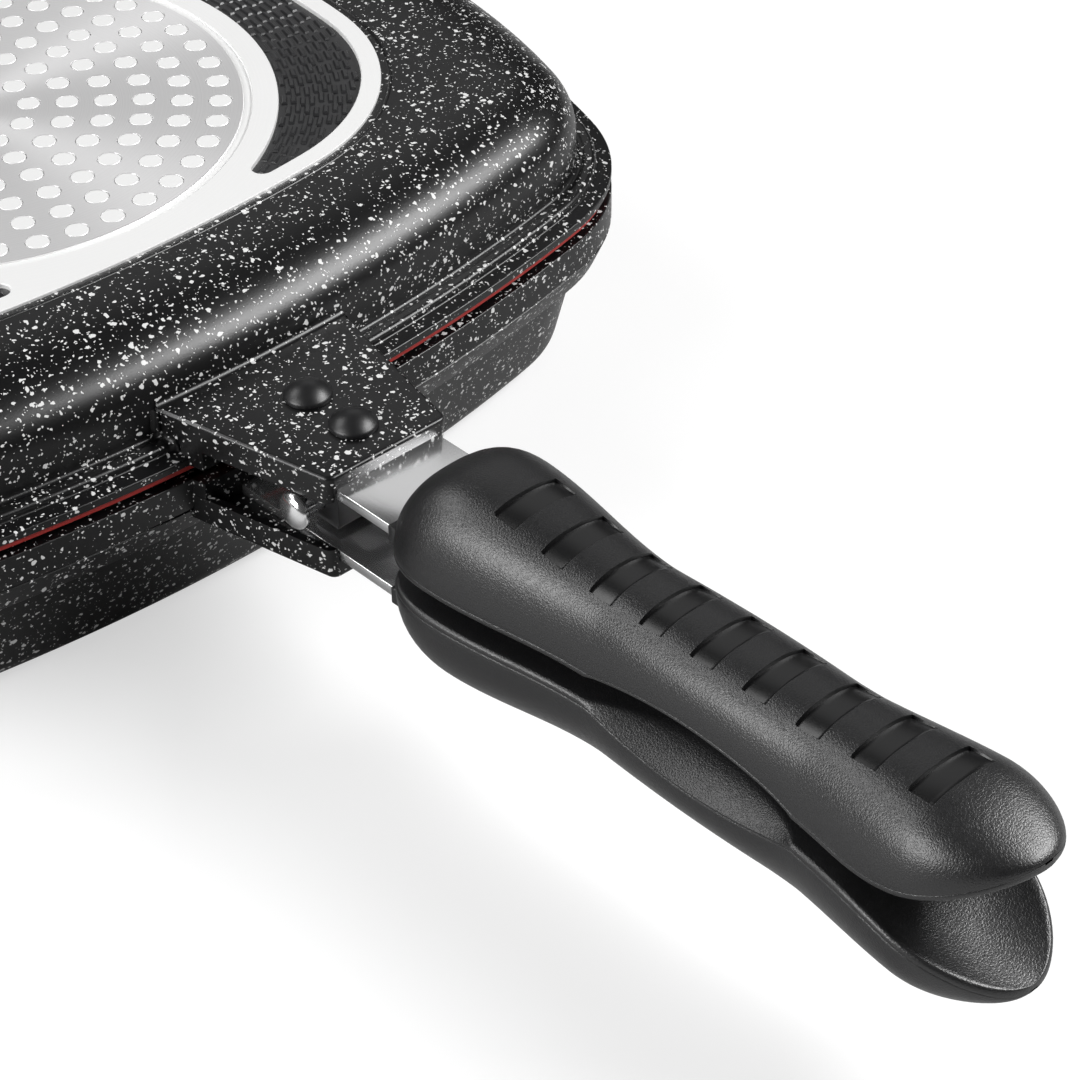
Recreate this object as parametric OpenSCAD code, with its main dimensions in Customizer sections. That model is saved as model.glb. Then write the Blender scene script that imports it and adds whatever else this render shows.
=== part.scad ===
// Double sided flip pan: two shallow cast pans that close rim to rim, hinged along the back,
// each with a riveted steel strap and its own grip. The closed pan stands on its lower base.
// X runs left to right, the handles point to -Y, and the rims meet in one level seam.

/* [Pan outline] */
// Length of both pans, left to right
pan_len = 312; // [300:1:330]
// Width of both pans, handle side to hinge side
pan_wid = 249.6; // [244:0.2:266]
// Radius of the four corners
corner_r = 51; // [46:1:56]

/* [Lower pan] */
// Height from the resting face to the seam between the rims
lower_h = 50; // [46:0.5:58]
// Gap below the seam, down to the outer rim edge
lower_seam_gap = 2.2; // [1.8:0.1:2.6]
// Depth of the upright band of the lower rim
lower_band_h = 8.1; // [7:0.1:9]
// Depth of the slanting band under it
lower_slant_h = 7.4; // [6:0.1:9]
// How far the slanting band leans in
lower_slant_in = 3; // [2:0.1:4]
// Ledge from the slanting band in to the wall
lower_ledge_w = 5; // [4:0.1:6]
// Slope of the outer wall, inward run for each unit of depth
lower_wall_slope = 0.25; // [0.2:0.01:0.3]
// Radius between the wall and the base
lower_shoulder_r = 8; // [6:0.5:10]
// Radius inside, between the wall and the floor
lower_floor_r = 7; // [5:0.5:9]
// Sealing lip height above the lower rim edge
lip_h = 1.4; // [1.1:0.1:1.6]
// Sealing lip width
lip_w = 3; // [2:0.1:3.5]

/* [Upper pan] */
// Height from the seam to the upper base
upper_h = 30.7; // [28:0.1:36]
// Gap above the seam, up to the outer rim edge
upper_seam_gap = 1.5; // [1.2:0.1:2]
// Height of the upright edge of the upper rim
upper_edge_h = 2; // [1.6:0.1:2.6]
// Width of the sloping ledge behind that edge
upper_ledge_w = 4; // [3.4:0.1:4.6]
// Width of the raised bead round the upper rim
bead_w = 2.8; // [2.2:0.1:3.2]
// Height of the raised bead
bead_h = 2; // [1.4:0.1:2.4]
// Set-in of the upright outer wall from the rim
upper_wall_in = 9; // [8.6:0.1:10]
// Height at which the wall begins to round over
upper_turn_h = 12; // [10:0.5:14]
// Squareness of the rounded shoulder
shoulder_power = 2.5; // [2.1:0.1:3]

/* [Walls and base] */
// Wall thickness of the upper pan
wall_t = 3; // [2.6:0.1:3.6]
// Floor thickness, with the raised base
floor_t = 5; // [4.4:0.1:6]
// Height of the bare base above the coated bottom
base_proud = 0.5; // [0.3:0.1:0.8]
// Border of coated bottom along the long sides
base_margin_side = 41.4; // [36:0.1:43]
// Border of coated bottom along the short ends
base_margin_end = 52; // [47:0.5:56]
// Radius of the bare base's corners
base_corner_r = 60; // [56:1:64]
// Width of the low coated step round the bare base
base_step_w = 2; // [1.4:0.1:2.6]
// Depth of the two dark crescent pockets
pocket_depth = 1.2; // [0.8:0.1:1.6]
// Bare border outside the pockets
pocket_border = 5; // [4:0.1:6]
// Radius of the pocket tips
pocket_tip_r = 2.8; // [2:0.1:3.4]

/* [Induction disc] */
// Diameter of the steel disc
disc_d = 143.6; // [138:0.2:146]
// Thickness of the steel disc
disc_t = 0.5; // [0.4:0.1:1]
// Ring groove left round the disc
disc_groove = 2.2; // [1.6:0.1:2.6]
// Bare ring between that groove and the pockets
bare_ring_w = 6.5; // [5:0.1:8]
// Distance between the rings of holes
hole_pitch = 9.45; // [9:0.05:9.6]
// Diameter of the holes
hole_d = 5.8; // [5:0.1:6.4]
// Number of rings of holes
hole_rings = 7; // [5:1:7]

/* [Gasket] */
// Width of the silicone gasket
gasket_w = 6; // [5:0.1:6.4]
// Set-in of the gasket from the rim
gasket_in = 1; // [0.8:0.1:1.4]
// Thickness of the gasket below its groove
gasket_t = 2; // [1.7:0.1:2.4]
// Width of the key that holds the gasket in its groove
key_w = 2; // [1.6:0.1:2.4]
// Height of that key
key_h = 1; // [0.8:0.1:1.2]

/* [Handle lugs] */
// Reach of each lug beyond the rim
lug_len = 38.6; // [36:0.1:42]
// Width of a lug at the rim
lug_root_w = 51.4; // [46:0.2:56]
// Width of a lug at its free end
lug_end_w = 34.6; // [34:0.2:38]
// Height of a lug's outer face from the seam
lug_top = 13.9; // [13:0.1:15]
// Thickness of a lug's plate
lug_plate_t = 4.1; // [3.6:0.1:4.6]
// Thickness of a lug's side skirts
lug_skirt_t = 2; // [1.6:0.1:2.2]
// Height from the seam at which the skirts end
lug_skirt_z = 6.5; // [6:0.1:7]
// Radius of the lug's free corners
lug_corner_r = 2.4; // [1.6:0.1:3]

/* [Straps and rivets] */
// Width of the steel strap
strap_w = 30; // [28:0.2:30.4]
// Thickness of the steel strap
strap_t = 2.6; // [2.2:0.1:3]
// Length of strap showing between lug and grip
strap_show = 15; // [10:0.5:19]
// Width of the strap's tang inside the grip
tang_w = 16; // [12:0.5:17]
// Length of the tang inside the grip
tang_len = 110; // [90:1:120]
// Distance of the outer rivet from the lug's end
rivet_end = 12.1; // [10:0.1:14]
// Distance between the two rivets
rivet_pitch = 15.8; // [14:0.1:17]
// Diameter of a rivet's shank
rivet_d = 5; // [4.4:0.1:6]
// Diameter of a rivet's domed head
rivet_head_d = 10.4; // [9.4:0.1:11.6]
// Height of that head
rivet_head_h = 3.5; // [2.6:0.1:4]
// Diameter of a rivet's flat tail
rivet_tail_d = 7.5; // [7:0.1:8]
// Height of that tail
rivet_tail_h = 1.2; // [1:0.1:1.3]

/* [Grips] */
// Length of a grip
grip_len = 172; // [162:1:184]
// Width of a grip at its front bulb
grip_front_w = 38.8; // [36:0.2:42]
// Width of a grip at its waist
grip_waist_w = 29; // [26:0.2:32]
// Width of a grip at its end bulb
grip_end_w = 37.2; // [34:0.2:40]
// Crown height of the front bulb above the seam
grip_front_h = 26.6; // [25:0.2:29]
// Crown height of the waist above the seam
grip_waist_h = 22.6; // [21.6:0.2:25]
// Crown height of the end bulb above the seam
grip_end_h = 23.8; // [22:0.2:27]
// Gap from the seam to a grip's mating face
grip_gap = 3.1; // [2:0.1:3.8]
// Squareness of the grip's section
grip_power = 2.7; // [2.2:0.1:3]
// Lift of the mating face at the grip's end
grip_end_lift = 12; // [9:0.1:13]
// Depth of the dish in the end of the mating face
dish_depth = 4; // [2:0.1:5]
// Width of the flat that the side scoops leave
scoop_flat_w = 10; // [8:0.2:12]
// Height of the side scoops
scoop_h = 4.2; // [3.4:0.1:5]
// Number of grooves across the crown
groove_count = 9; // [7:1:9]
// Distance between the grooves
groove_pitch = 14.4; // [13:0.1:15.5]
// Width of a groove
groove_w = 6.5; // [4:0.1:8]
// Depth of a groove
groove_depth = 0.8; // [0.5:0.1:1.2]
// Length of a groove across the grip
groove_span = 18; // [14:0.5:20]
// Diameter of the grip screw
screw_d = 4; // [3.5:0.1:5]
// Diameter of the grip screw's head
screw_head_d = 8; // [7:0.1:9]
// Length of the grip screw under its head
screw_len = 13; // [10:0.5:15]

/* [Catch] */
// Diameter of the cross pin
catch_pin_d = 5; // [4:0.1:5.4]
// Diameter of the cross pin's polished head
catch_head_d = 9.2; // [8:0.1:9.4]
// Height of the pin's axis above the seam
catch_pin_z = 1.5; // [1.2:0.1:1.6]
// Distance of the pin from the lug's end
catch_pin_end = 9.9; // [9:0.1:11]
// Width of the bracket over its cheeks
bracket_w = 26; // [22:0.2:28]
// Thickness of the bracket's steel
bracket_t = 1.5; // [1.4:0.1:1.6]
// Length of the bracket along the strap
bracket_len = 14; // [12:0.2:15]
// Depth of the closing magnet below the pin
magnet_drop = 7; // [5:0.1:7.2]
// Width of the closing magnet along the strap
magnet_len = 9; // [8:0.2:11]

/* [Hinges] */
// Distance of each hinge from the middle
hinge_x = 57; // [50:0.5:64]
// Distance of the hinge axis behind the rim
hinge_out = 10; // [9:0.1:12]
// Radius of the knuckles
knuckle_r = 6.5; // [5.6:0.1:7]
// Width of the upper pan's knuckle
upper_knuckle_w = 14; // [11:0.2:17]
// Width of each lower pan's knuckle
lower_knuckle_w = 9; // [7:0.2:11]
// Diameter of the hinge pin
hinge_pin_d = 5; // [4:0.1:6]
// Diameter of the hinge pin's head
hinge_head_d = 9; // [8:0.1:10]
// Thickness of the pin's head
hinge_head_t = 2; // [1.4:0.1:2.6]
// Outer diameter of the retaining clip
clip_d = 9.4; // [8.6:0.1:10.6]
// Thickness of the retaining clip
clip_t = 0.9; // [0.7:0.1:1.1]

/* [Hidden] */

$fn = 48;
body_gap = 0.3;      // clearance between parts that move past each other
fit_gap = 0.05;      // radial clearance of pins, rivets and screws in their holes
slot_gap = 0.1;      // clearance of the tang in its slot
arc_steps = 1;       // straight steps in half of a small profile fillet
shoulder_steps = 7;  // steps in the rounded shoulder
wedge_half_h = 100;  // half the height of the wedges that cut ring sectors
overlap = 0.5;       // how far joined solids run into each other
tiny = 0.01;

// Both outlines are closed rings of arcs. Neighbouring arcs meet on a line through both centres,
// and each such line is the long side of a whole-number right triangle, so the ends match exactly.
pan_outline = outline(pan_len / 2, pan_wid / 2, corner_r, [9, 40, 41], [12, 35, 37]);
base_half_len = pan_len / 2 - base_margin_end;
base_half_wid = pan_wid / 2 - base_margin_side;
base_outline = outline(base_half_len, base_half_wid, base_corner_r, [17, 144, 145], [15, 112, 113]);
pocket_r = disc_d / 2 + disc_groove + bare_ring_w;
ring_turn = [0, 0, 7, -4.8, 0, 2, 3.9];   // turn of each ring of holes, from the middle out

rim_edge_z = upper_seam_gap + upper_edge_h;
over_key_z = upper_seam_gap + key_h + 0.5;
ledge_z = rim_edge_z + 0.8;
bead_top_z = ledge_z + bead_h;
bead_end = upper_ledge_w + bead_w;
lip_in = gasket_in + (gasket_w - lip_w) / 2 + 0.5;
lower_band_z = lower_seam_gap + lower_band_h;
lower_ledge_z = lower_band_z + lower_slant_h;
lower_wall_in = lower_slant_in + lower_ledge_w;
lower_wall_z = lower_ledge_z + 0.6;
rim_inner = lip_in + lip_w + 2.7;
upper_inner = upper_wall_in + wall_t;

lug_end_y = pan_wid / 2 + lug_len;
strap_top = lug_top - lug_plate_t;
strap_under = strap_top - strap_t;
rivet_y = [lug_end_y - rivet_end, lug_end_y - rivet_end - rivet_pitch];
strap_start_y = rivet_y[1] - 7.5;
grip_y = lug_end_y + strap_show;
screw_s = 47;        // screw's distance from the front of the grip
screw_sink = 2.4;    // depth of its head in the mating face
catch_y = lug_end_y - catch_pin_end;
hinge_y = pan_wid / 2 + hinge_out;

// ---- shared forms ----

// An outline: corner radius, then the size of the triangle under the side arc and the end arc
function outline(half_len, half_wid, r, side, end) =
    let (a = half_len - r, b = half_wid - r, de = end[2] - end[1], ds = side[2] - side[1])
    let (det = side[0] * end[0] - de * ds)
    [r, snap((a * end[0] - b * de) / det), snap((side[0] * b - ds * a) / det), side, end];
function snap(x) = round(x * 200) / 200;
function corner_centre(o) = [o[3][0] * o[1], o[4][0] * o[2]];
function side_centre(o) = [0, corner_centre(o)[1] - o[3][1] * o[1]];
function end_centre(o) = [corner_centre(o)[0] - o[4][1] * o[2], 0];
function side_r(o) = o[3][2] * o[1] + o[0];
function end_r(o) = o[4][2] * o[2] + o[0];
function side_dir(o) = [o[3][0], o[3][1]];
function end_dir(o) = [o[4][1], o[4][0]];

// Points of an outline moved outward by a distance
function arc(c, r, from, to, steps) =
    [for (k = [0 : steps]) let (t = from + (to - from) * k / steps) c + r * [cos(t), sin(t)]];
function outline_points(o, out = 0) =
    let (side = atan2(o[3][0], o[3][1]), end = atan2(o[4][0], o[4][1]))
    let (quarter = concat(arc(end_centre(o), end_r(o) + out, 0, end, 5),
        arc(corner_centre(o), o[0] + out, end, 90 - side, 8),
        arc(side_centre(o), side_r(o) + out, 90 - side, 90, 6)))
    let (n = len(quarter))
    concat([for (p = quarter) p], [for (i = [n - 2 : -1 : 0]) [-quarter[i][0], quarter[i][1]]],
        [for (i = [1 : n - 1]) -quarter[i]], [for (i = [n - 2 : -1 : 1]) [quarter[i][0], -quarter[i][1]]]);

// A ring sector round a centre, between two directions
module sector(centre, r, wedge) {
    intersection() {
        translate([centre[0], centre[1], 0]) rotate_extrude($fn = 360) translate([r, 0]) children();
        translate([centre[0], centre[1], -wedge_half_h]) linear_extrude(2 * wedge_half_h) polygon(wedge);
    }
}

// Sweeps a profile along the outline: its x is the offset from the outline, inward negative
module swept(o) {
    sd = side_dir(o);
    ed = end_dir(o);
    sk = snap(1.15 * side_r(o) / sd[1]);
    ek = snap(1.15 * end_r(o) / ed[0]);
    ck = snap(1.3 * o[0] / sd[1]);
    dk = snap(1.3 * o[0] / ed[0]);
    for (flip = [0, 1]) {
        mirror([0, flip, 0]) sector(side_centre(o), side_r(o), [[0, 0], sd * sk, [-sd[0] * sk, sd[1] * sk]])
            children();
        mirror([flip, 0, 0]) sector(end_centre(o), end_r(o), [[0, 0], [ed[0] * ek, -ed[1] * ek], ed * ek])
            children();
        for (flop = [0, 1]) mirror([flip, 0, 0]) mirror([0, flop, 0])
            sector(corner_centre(o), o[0], [[0, 0], ed * dk, ed * dk + sd * ck, sd * ck]) children();
    }
}

// A flat plate with the outline's shape, moved outward by a distance
module plate(o, z0, z1, out = 0) {
    translate([0, 0, z0]) linear_extrude(z1 - z0) polygon(outline_points(o, out));
}

// Replaces each corner [x, y, radius] of a closed path by a fillet arc
function flat(p) = [p[0], p[1], 0];
function rounded(path) = [for (i = [0 : len(path) - 1])
    let (n = len(path), a = flat(path[(i + n - 1) % n]), b = path[i], c = flat(path[(i + 1) % n]))
    each (b[2] == 0 ? [[b[0], b[1]]] : fillet_at(a, b, c))];
function fillet_at(a, b, c) =
    let (u = (a - flat(b)) / norm(a - flat(b)), v = (c - flat(b)) / norm(c - flat(b)))
    let (half = acos(u * v) / 2, m = (u + v) / norm(u + v), r = b[2])
    let (centre = flat(b) + m * (r / sin(half)), side = sign(u[0] * v[1] - u[1] * v[0]))
    [for (k = [-arc_steps : arc_steps])
        let (turn = side * (90 - half) * k / arc_steps)
        [centre[0] - r * (m[0] * cos(turn) + m[1] * sin(turn)),
         centre[1] - r * (m[1] * cos(turn) - m[0] * sin(turn))]];

// Quarter of a rounded square, from the wall (t = 0) over to the flat (t = 90)
function shoulder(wall_in, flat_in, z0, z1) = [for (k = [0 : shoulder_steps])
    let (t = 90 * k / shoulder_steps)
    [-flat_in + (flat_in - wall_in) * pow(cos(t), 2 / shoulder_power),
     z0 + (z1 - z0) * pow(sin(t), 2 / shoulder_power)]];

// Everything above the seam, and the same turned over for everything below it
module above() { translate([0, 0, lower_h]) children(); }
module below() { translate([0, 0, lower_h]) mirror([0, 0, 1]) children(); }

// ---- pans ----

// Heights are measured from the seam, outward
module upper_profile() {
    top = upper_h - base_proud;
    under = upper_h - floor_t;
    outside = concat(rounded([
            [-corner_r, upper_seam_gap, 0], [0, upper_seam_gap, 0], [0, rim_edge_z, 0.4],
            [-upper_ledge_w, ledge_z, 0], [-upper_ledge_w - 0.1, bead_top_z, 1], [-bead_end, bead_top_z, 1],
            [-upper_wall_in, ledge_z + 1.2, 1.5], [-upper_wall_in, upper_turn_h, 0]]),
        shoulder(upper_wall_in, base_margin_side, upper_turn_h, top));
    difference() {
        polygon(concat(outside, [[-corner_r, top]]));
        polygon(concat([[-corner_r, 0], [-upper_inner, 0]],
            shoulder(upper_inner, base_margin_side, upper_turn_h, under),
            [[-corner_r - 1, under], [-corner_r - 1, 0]]));
        translate([-gasket_in - (gasket_w + key_w) / 2, 0]) square([key_w, upper_seam_gap + key_h]);
    }
}

module lower_profile() {
    top = lower_h - base_proud;
    under = lower_h - floor_t;
    wall_end = lower_wall_in + (top - lower_wall_z) * lower_wall_slope;
    floor_in = wall_end + 1.3;
    polygon(rounded([
        [0, lower_seam_gap, 0], [0, lower_band_z, 0],
        [-0.5, lower_band_z + 0.3, 0], [0, lower_band_z + 0.6, 0],
        [-lower_slant_in, lower_ledge_z, 0.5], [-lower_wall_in, lower_wall_z, 1],
        [-wall_end, top - 0.8, lower_shoulder_r], [-base_margin_side, top, 0],
        [-corner_r, top, 0], [-corner_r, under, 0],
        [-floor_in, under, lower_floor_r], [-rim_inner, lower_seam_gap, 0.5],
        [-lip_in - lip_w, lower_seam_gap, 0], [-lip_in - lip_w, lower_seam_gap - lip_h, 0.4],
        [-lip_in, lower_seam_gap - lip_h, 0.4], [-lip_in, lower_seam_gap, 0]]));
}

// The raised bare base on its low coated step
module base_raised(h) {
    bottom = h - base_proud - 1;
    plate(base_outline, bottom, h);
    plate(base_outline, bottom, h - base_proud + 0.2, base_step_w);
}

// The disc's seat and the two crescent pockets
module base_cuts(h) {
    translate([0, 0, h - disc_t]) cylinder(h = disc_t + 1, d = disc_d + 2 * disc_groove, $fn = 120);
    for (flip = [0, 1]) mirror([flip, 0, 0]) pocket(h);
}

module pocket(h) {
    side_y = side_centre(base_outline)[1];
    reach = side_r(base_outline) - pocket_border - pocket_tip_r;
    near = pocket_r + pocket_tip_r;
    tip_y = (reach * reach - near * near - side_y * side_y) / (-2 * side_y);
    tip = [sqrt(near * near - tip_y * tip_y), tip_y];
    out = [tip[0] / reach, (tip[1] - side_y) / reach];
    beyond = tip + out * 30;
    far = base_half_len + 10;
    difference() {
        intersection() {
            plate(base_outline, h - pocket_depth, h + 1, -pocket_border);
            translate([0, 0, h - pocket_depth - 1]) linear_extrude(pocket_depth + 3)
                polygon([[0, 0], tip, beyond, [far, beyond[1]], [far, -beyond[1]], [beyond[0], -beyond[1]],
                    [tip[0], -tip[1]]]);
        }
        translate([0, 0, h - pocket_depth - 2]) cylinder(h = pocket_depth + 5, r = pocket_r, $fn = 120);
    }
    for (flop = [-1, 1]) translate([tip[0], flop * tip[1], h - pocket_depth])
        cylinder(h = pocket_depth + 1, r = pocket_tip_r, $fn = 32);
}

// Height of the pan's outline at a distance x from the middle of a long side
function rim_y(x) = side_centre(pan_outline)[1] + sqrt(pow(side_r(pan_outline), 2) - x * x);

module lug(root_in) {
    root_y = rim_y(lug_root_w / 2) - root_in;
    slope = (lug_root_w - lug_end_w) / 2 / lug_len;
    root_half = lug_end_w / 2 + slope * (lug_end_y - root_y);
    flank = [slope, 1] / norm([slope, 1]);
    shift = lug_skirt_t / flank[1];
    difference() {
        translate([0, 0, lug_skirt_z]) linear_extrude(lug_top - lug_skirt_z) polygon(rounded([
            [-root_half, -root_y, 0], [-lug_end_w / 2, -lug_end_y, lug_corner_r],
            [lug_end_w / 2, -lug_end_y, lug_corner_r], [root_half, -root_y, 0]]));
        translate([0, 0, lug_skirt_z - 1]) linear_extrude(strap_top - lug_skirt_z + 1) polygon([
            [-root_half + shift, -root_y], [-lug_end_w / 2 + shift - slope, -lug_end_y - 1],
            [lug_end_w / 2 - shift + slope, -lug_end_y - 1], [root_half - shift, -root_y]]);
        for (y = rivet_y) translate([0, -y, 0]) cylinder(h = lug_top + 1, d = rivet_d + 2 * fit_gap);
    }
}

// The cast web that carries the lug over the rim
module lug_web(low, root_in) {
    root_y = rim_y(lug_root_w / 2) - root_in;
    out_y = strap_start_y - slot_gap;
    slope = (lug_root_w - lug_end_w) / 2 / lug_len;
    root_half = lug_end_w / 2 + slope * (lug_end_y - root_y);
    out_half = lug_end_w / 2 + slope * (lug_end_y - out_y);
    translate([0, 0, low]) linear_extrude(lug_top - low) polygon([
        [-root_half, -root_y], [-out_half, -out_y], [out_half, -out_y], [root_half, -root_y]]);
}

// Knuckles from x0 for a width, with the arm that carries them; low and top bound the arm at the rim
module knuckle(x0, width, low, top, arm_in) {
    wall_y = rim_y(abs(x0) + width) - arm_in;
    translate([x0, 0, 0]) rotate([90, 0, 90]) linear_extrude(width) difference() {
        union() {
            translate([hinge_y, 0]) circle(knuckle_r, $fn = 64);
            polygon([[wall_y, low], [hinge_y, low], [hinge_y + knuckle_r * 0.5, knuckle_r * 0.866],
                [hinge_y - knuckle_r * 0.5, knuckle_r * 0.866 + 0.6], [wall_y, top]]);
        }
        translate([hinge_y, 0]) circle(hinge_pin_d / 2 + fit_gap, $fn = 64);
    }
}

module upper_hinges() {
    for (flip = [0, 1]) mirror([flip, 0, 0])
        knuckle(hinge_x - upper_knuckle_w / 2, upper_knuckle_w, over_key_z, 9, upper_wall_in + 1);
}

module lower_hinges() {
    inner = hinge_x - upper_knuckle_w / 2 - body_gap - lower_knuckle_w;
    outer = hinge_x + upper_knuckle_w / 2 + body_gap;
    for (flip = [0, 1]) mirror([flip, 0, 0]) {
        knuckle(inner, lower_knuckle_w, lower_seam_gap - lip_h, lower_band_z, 2);
        knuckle(outer, lower_knuckle_w, lower_seam_gap - lip_h, lower_band_z, 2);
    }
}

module upper_pan() {
    color("#2b2b2d") above() difference() {
        union() {
            swept(pan_outline) upper_profile();
            plate(pan_outline, upper_h - floor_t, upper_h - base_proud, overlap - corner_r);
            lug(upper_wall_in + 1.5);
            lug_web(over_key_z, upper_wall_in + 1.5);
            lug_web(upper_seam_gap, 0.3);
            upper_hinges();
            base_raised(upper_h);
        }
        base_cuts(upper_h);
    }
}

module lower_pan() {
    color("#2b2b2d") below() difference() {
        union() {
            swept(pan_outline) lower_profile();
            plate(pan_outline, lower_h - floor_t, lower_h - base_proud, overlap - corner_r);
            lug(4);
            lug_web(lower_seam_gap, 2);
            lower_hinges();
            base_raised(lower_h);
        }
        base_cuts(lower_h);
    }
}

module rim_gasket() {
    middle = gasket_in + gasket_w / 2;
    color("#c8201c") above() swept(pan_outline) union() {
        translate([-gasket_in - gasket_w, upper_seam_gap - gasket_t]) square([gasket_w, gasket_t]);
        translate([-middle - key_w / 2 + fit_gap, upper_seam_gap - tiny])
            square([key_w - 2 * fit_gap, key_h]);
    }
}

module induction_disc(h) {
    translate([0, 0, h - disc_t]) linear_extrude(disc_t) difference() {
        circle(d = disc_d, $fn = 120);
        for (ring = [1 : hole_rings]) for (k = [0 : 6 * ring - 1])
            rotate(60 * k / ring + ring_turn[ring - 1]) translate([ring * hole_pitch, 0])
                circle(d = hole_d, $fn = 20);
    }
}
module lower_induction_disc() { color("#c9cacb") below() induction_disc(lower_h); }
module upper_induction_disc() { color("#c9cacb") above() induction_disc(upper_h); }

// ---- straps and rivets ----

module strap_shape(clear = 0) {
    w = strap_w / 2 + clear;
    t = tang_w / 2 + clear;
    polygon([[-w, -strap_start_y], [-w, -grip_y - 3 - clear], [-t, -grip_y - 12 - clear],
        [-t, -grip_y - tang_len - clear], [t, -grip_y - tang_len - clear], [t, -grip_y - 12 - clear],
        [w, -grip_y - 3 - clear], [w, -strap_start_y]]);
}

module strap() {
    translate([0, 0, strap_under]) linear_extrude(strap_t) difference() {
        strap_shape();
        for (y = rivet_y) translate([0, -y]) circle(d = rivet_d + 2 * fit_gap);
        translate([0, -grip_y - screw_s]) circle(d = screw_d + 2 * fit_gap);
    }
}
module lower_handle_strap() { color("#d4d5d6") below() strap(); }
module upper_handle_strap() { color("#d4d5d6") above() strap(); }

// A domed head of a given diameter and height, flat side down
module dome(d, h) {
    r = (d * d / 4 + h * h) / (2 * h);
    rotate_extrude($fn = 48) intersection() {
        translate([0, h - r]) circle(r, $fn = 96);
        square([d / 2, h]);
    }
}

module rivets() {
    for (y = rivet_y) translate([0, -y, 0]) {
        translate([0, 0, lug_top]) dome(rivet_head_d, rivet_head_h);
        translate([0, 0, strap_under - tiny]) cylinder(h = lug_top - strap_under + 2 * tiny, d = rivet_d);
        translate([0, 0, strap_under - rivet_tail_h]) cylinder(h = rivet_tail_h, d = rivet_tail_d);
    }
}
module lower_handle_rivets() { color("#1c1c1d") below() rivets(); }
module upper_handle_rivets() { color("#1c1c1d") above() rivets(); }

// ---- grips ----

end_front = 22;                     // length of the rounded front of a grip
end_tip = 24;                       // length of its rounded tip
front_bulb = [15.5, 48];             // middle and reach of the front bulb
tip_bulb = [grip_len - 21, 40];     // middle and reach of the end bulb
scoop = [92, 29];                   // middle and reach of the side scoops
lift_from = grip_len - 38;          // where the mating face begins to lift
groove_from = 29;                   // front edge of the first groove
lip_t = 1.1;                        // rounded edge of the mating face
side_points = 5;
crown_points = 3;
floor_points = 4;

function bump(s, b) = abs(s - b[0]) < b[1] ? pow(cos(90 * (s - b[0]) / b[1]), 2) : 0;
function arch(s, b) = max(0, 1 - pow((s - b[0]) / b[1], 2));
function cap(u, p) = pow(max(0, 1 - pow(u, p)), 1 / p);
// How much of the full section is left near the two ends
function end_scale(s, front_p, tip_p) =
    s < end_front ? cap((end_front - s) / end_front, front_p)
    : s > grip_len - end_tip ? cap((s - grip_len + end_tip) / end_tip, tip_p) : 1;
function half_width(s) = (grip_waist_w / 2 + (grip_front_w - grip_waist_w) / 2 * bump(s, front_bulb)
    + (grip_end_w - grip_waist_w) / 2 * bump(s, tip_bulb)) * end_scale(s, 3.5, 2.1);
function crown_height(s) = grip_waist_h + (grip_front_h - grip_waist_h) * bump(s, front_bulb)
    + (grip_end_h - grip_waist_h) * bump(s, tip_bulb);
function mate_height(s) = grip_gap
    + grip_end_lift * pow(max(0, (s - lift_from) / (grip_len - lift_from)), 2);
function dish(s) = s < lift_from ? 0 : dish_depth * sin(180 * (s - lift_from) / (grip_len - lift_from));
// Depth of the groove that s lies in: a sharp step on the pan's side, then a ramp
function groove(s) =
    let (k = floor((s - groove_from) / groove_pitch), u = s - groove_from - k * groove_pitch)
    k < 0 || k >= groove_count || u > groove_w ? 0 : u < 0.3 ? groove_depth * u / 0.3
    : groove_depth * (groove_w - u) / (groove_w - 0.3);

// One side of the section, from the middle of the mating face round to the crown
function half_section(s) =
    let (w = max(1.2, half_width(s)), z0 = mate_height(s), a = arch(s, scoop))
    let (flat_w = w - min(lip_t, w / 3) - (w - lip_t - scoop_flat_w / 2) * a, d = dish(s))
    let (zw = z0 + lip_t + scoop_h * a, top = zw + (crown_height(s) - zw) * max(0.1, end_scale(s, 2.4, 2.2)))
    let (g = min(groove_span / 2, w * 0.9), tg = acos(pow(g / w, grip_power / 2)))
    concat(
        [for (k = [1 : floor_points - 1]) let (u = k / (floor_points - 1))
            [flat_w * u, z0 + d * (1 - u * u)]],
        [for (k = [0 : side_points - 1]) let (t = tg * k / side_points)
            [w * pow(cos(t), 2 / grip_power), zw + (top - zw) * pow(sin(t), 2 / grip_power)]],
        [[g + 0.2, zw + (top - zw) * pow(sin(tg * 0.985), 2 / grip_power)]],
        [for (k = [0 : crown_points - 1]) let (t = tg + (90 - tg) * k / crown_points)
            [w * pow(cos(t), 2 / grip_power), zw + (top - zw) * pow(sin(t), 2 / grip_power) - groove(s)]],
        [[0, top - groove(s)]]);
function section(s) = let (h = half_section(s), n = len(h))
    concat([[0, mate_height(s) + dish(s)]], h, [for (i = [n - 2 : -1 : 0]) [-h[i][0], h[i][1]]]);

front_stations = [for (k = [0 : 6]) max(0.1, end_front * (1 - cos(15 * k)))];
tip_stations = [for (k = [1 : 8]) min(grip_len - 0.1, grip_len - end_tip * (1 - sin(90 * k / 8)))];
groove_stations = [for (i = [0 : groove_count - 1]) let (s = groove_from + i * groove_pitch)
    each [s, s + 0.3, s + groove_w, s + (groove_w + groove_pitch) / 2]];
stations = concat(front_stations, [(end_front + groove_from) / 2],
    [for (s = groove_stations) if (s < grip_len - end_tip + 4) s], tip_stations);

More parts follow.
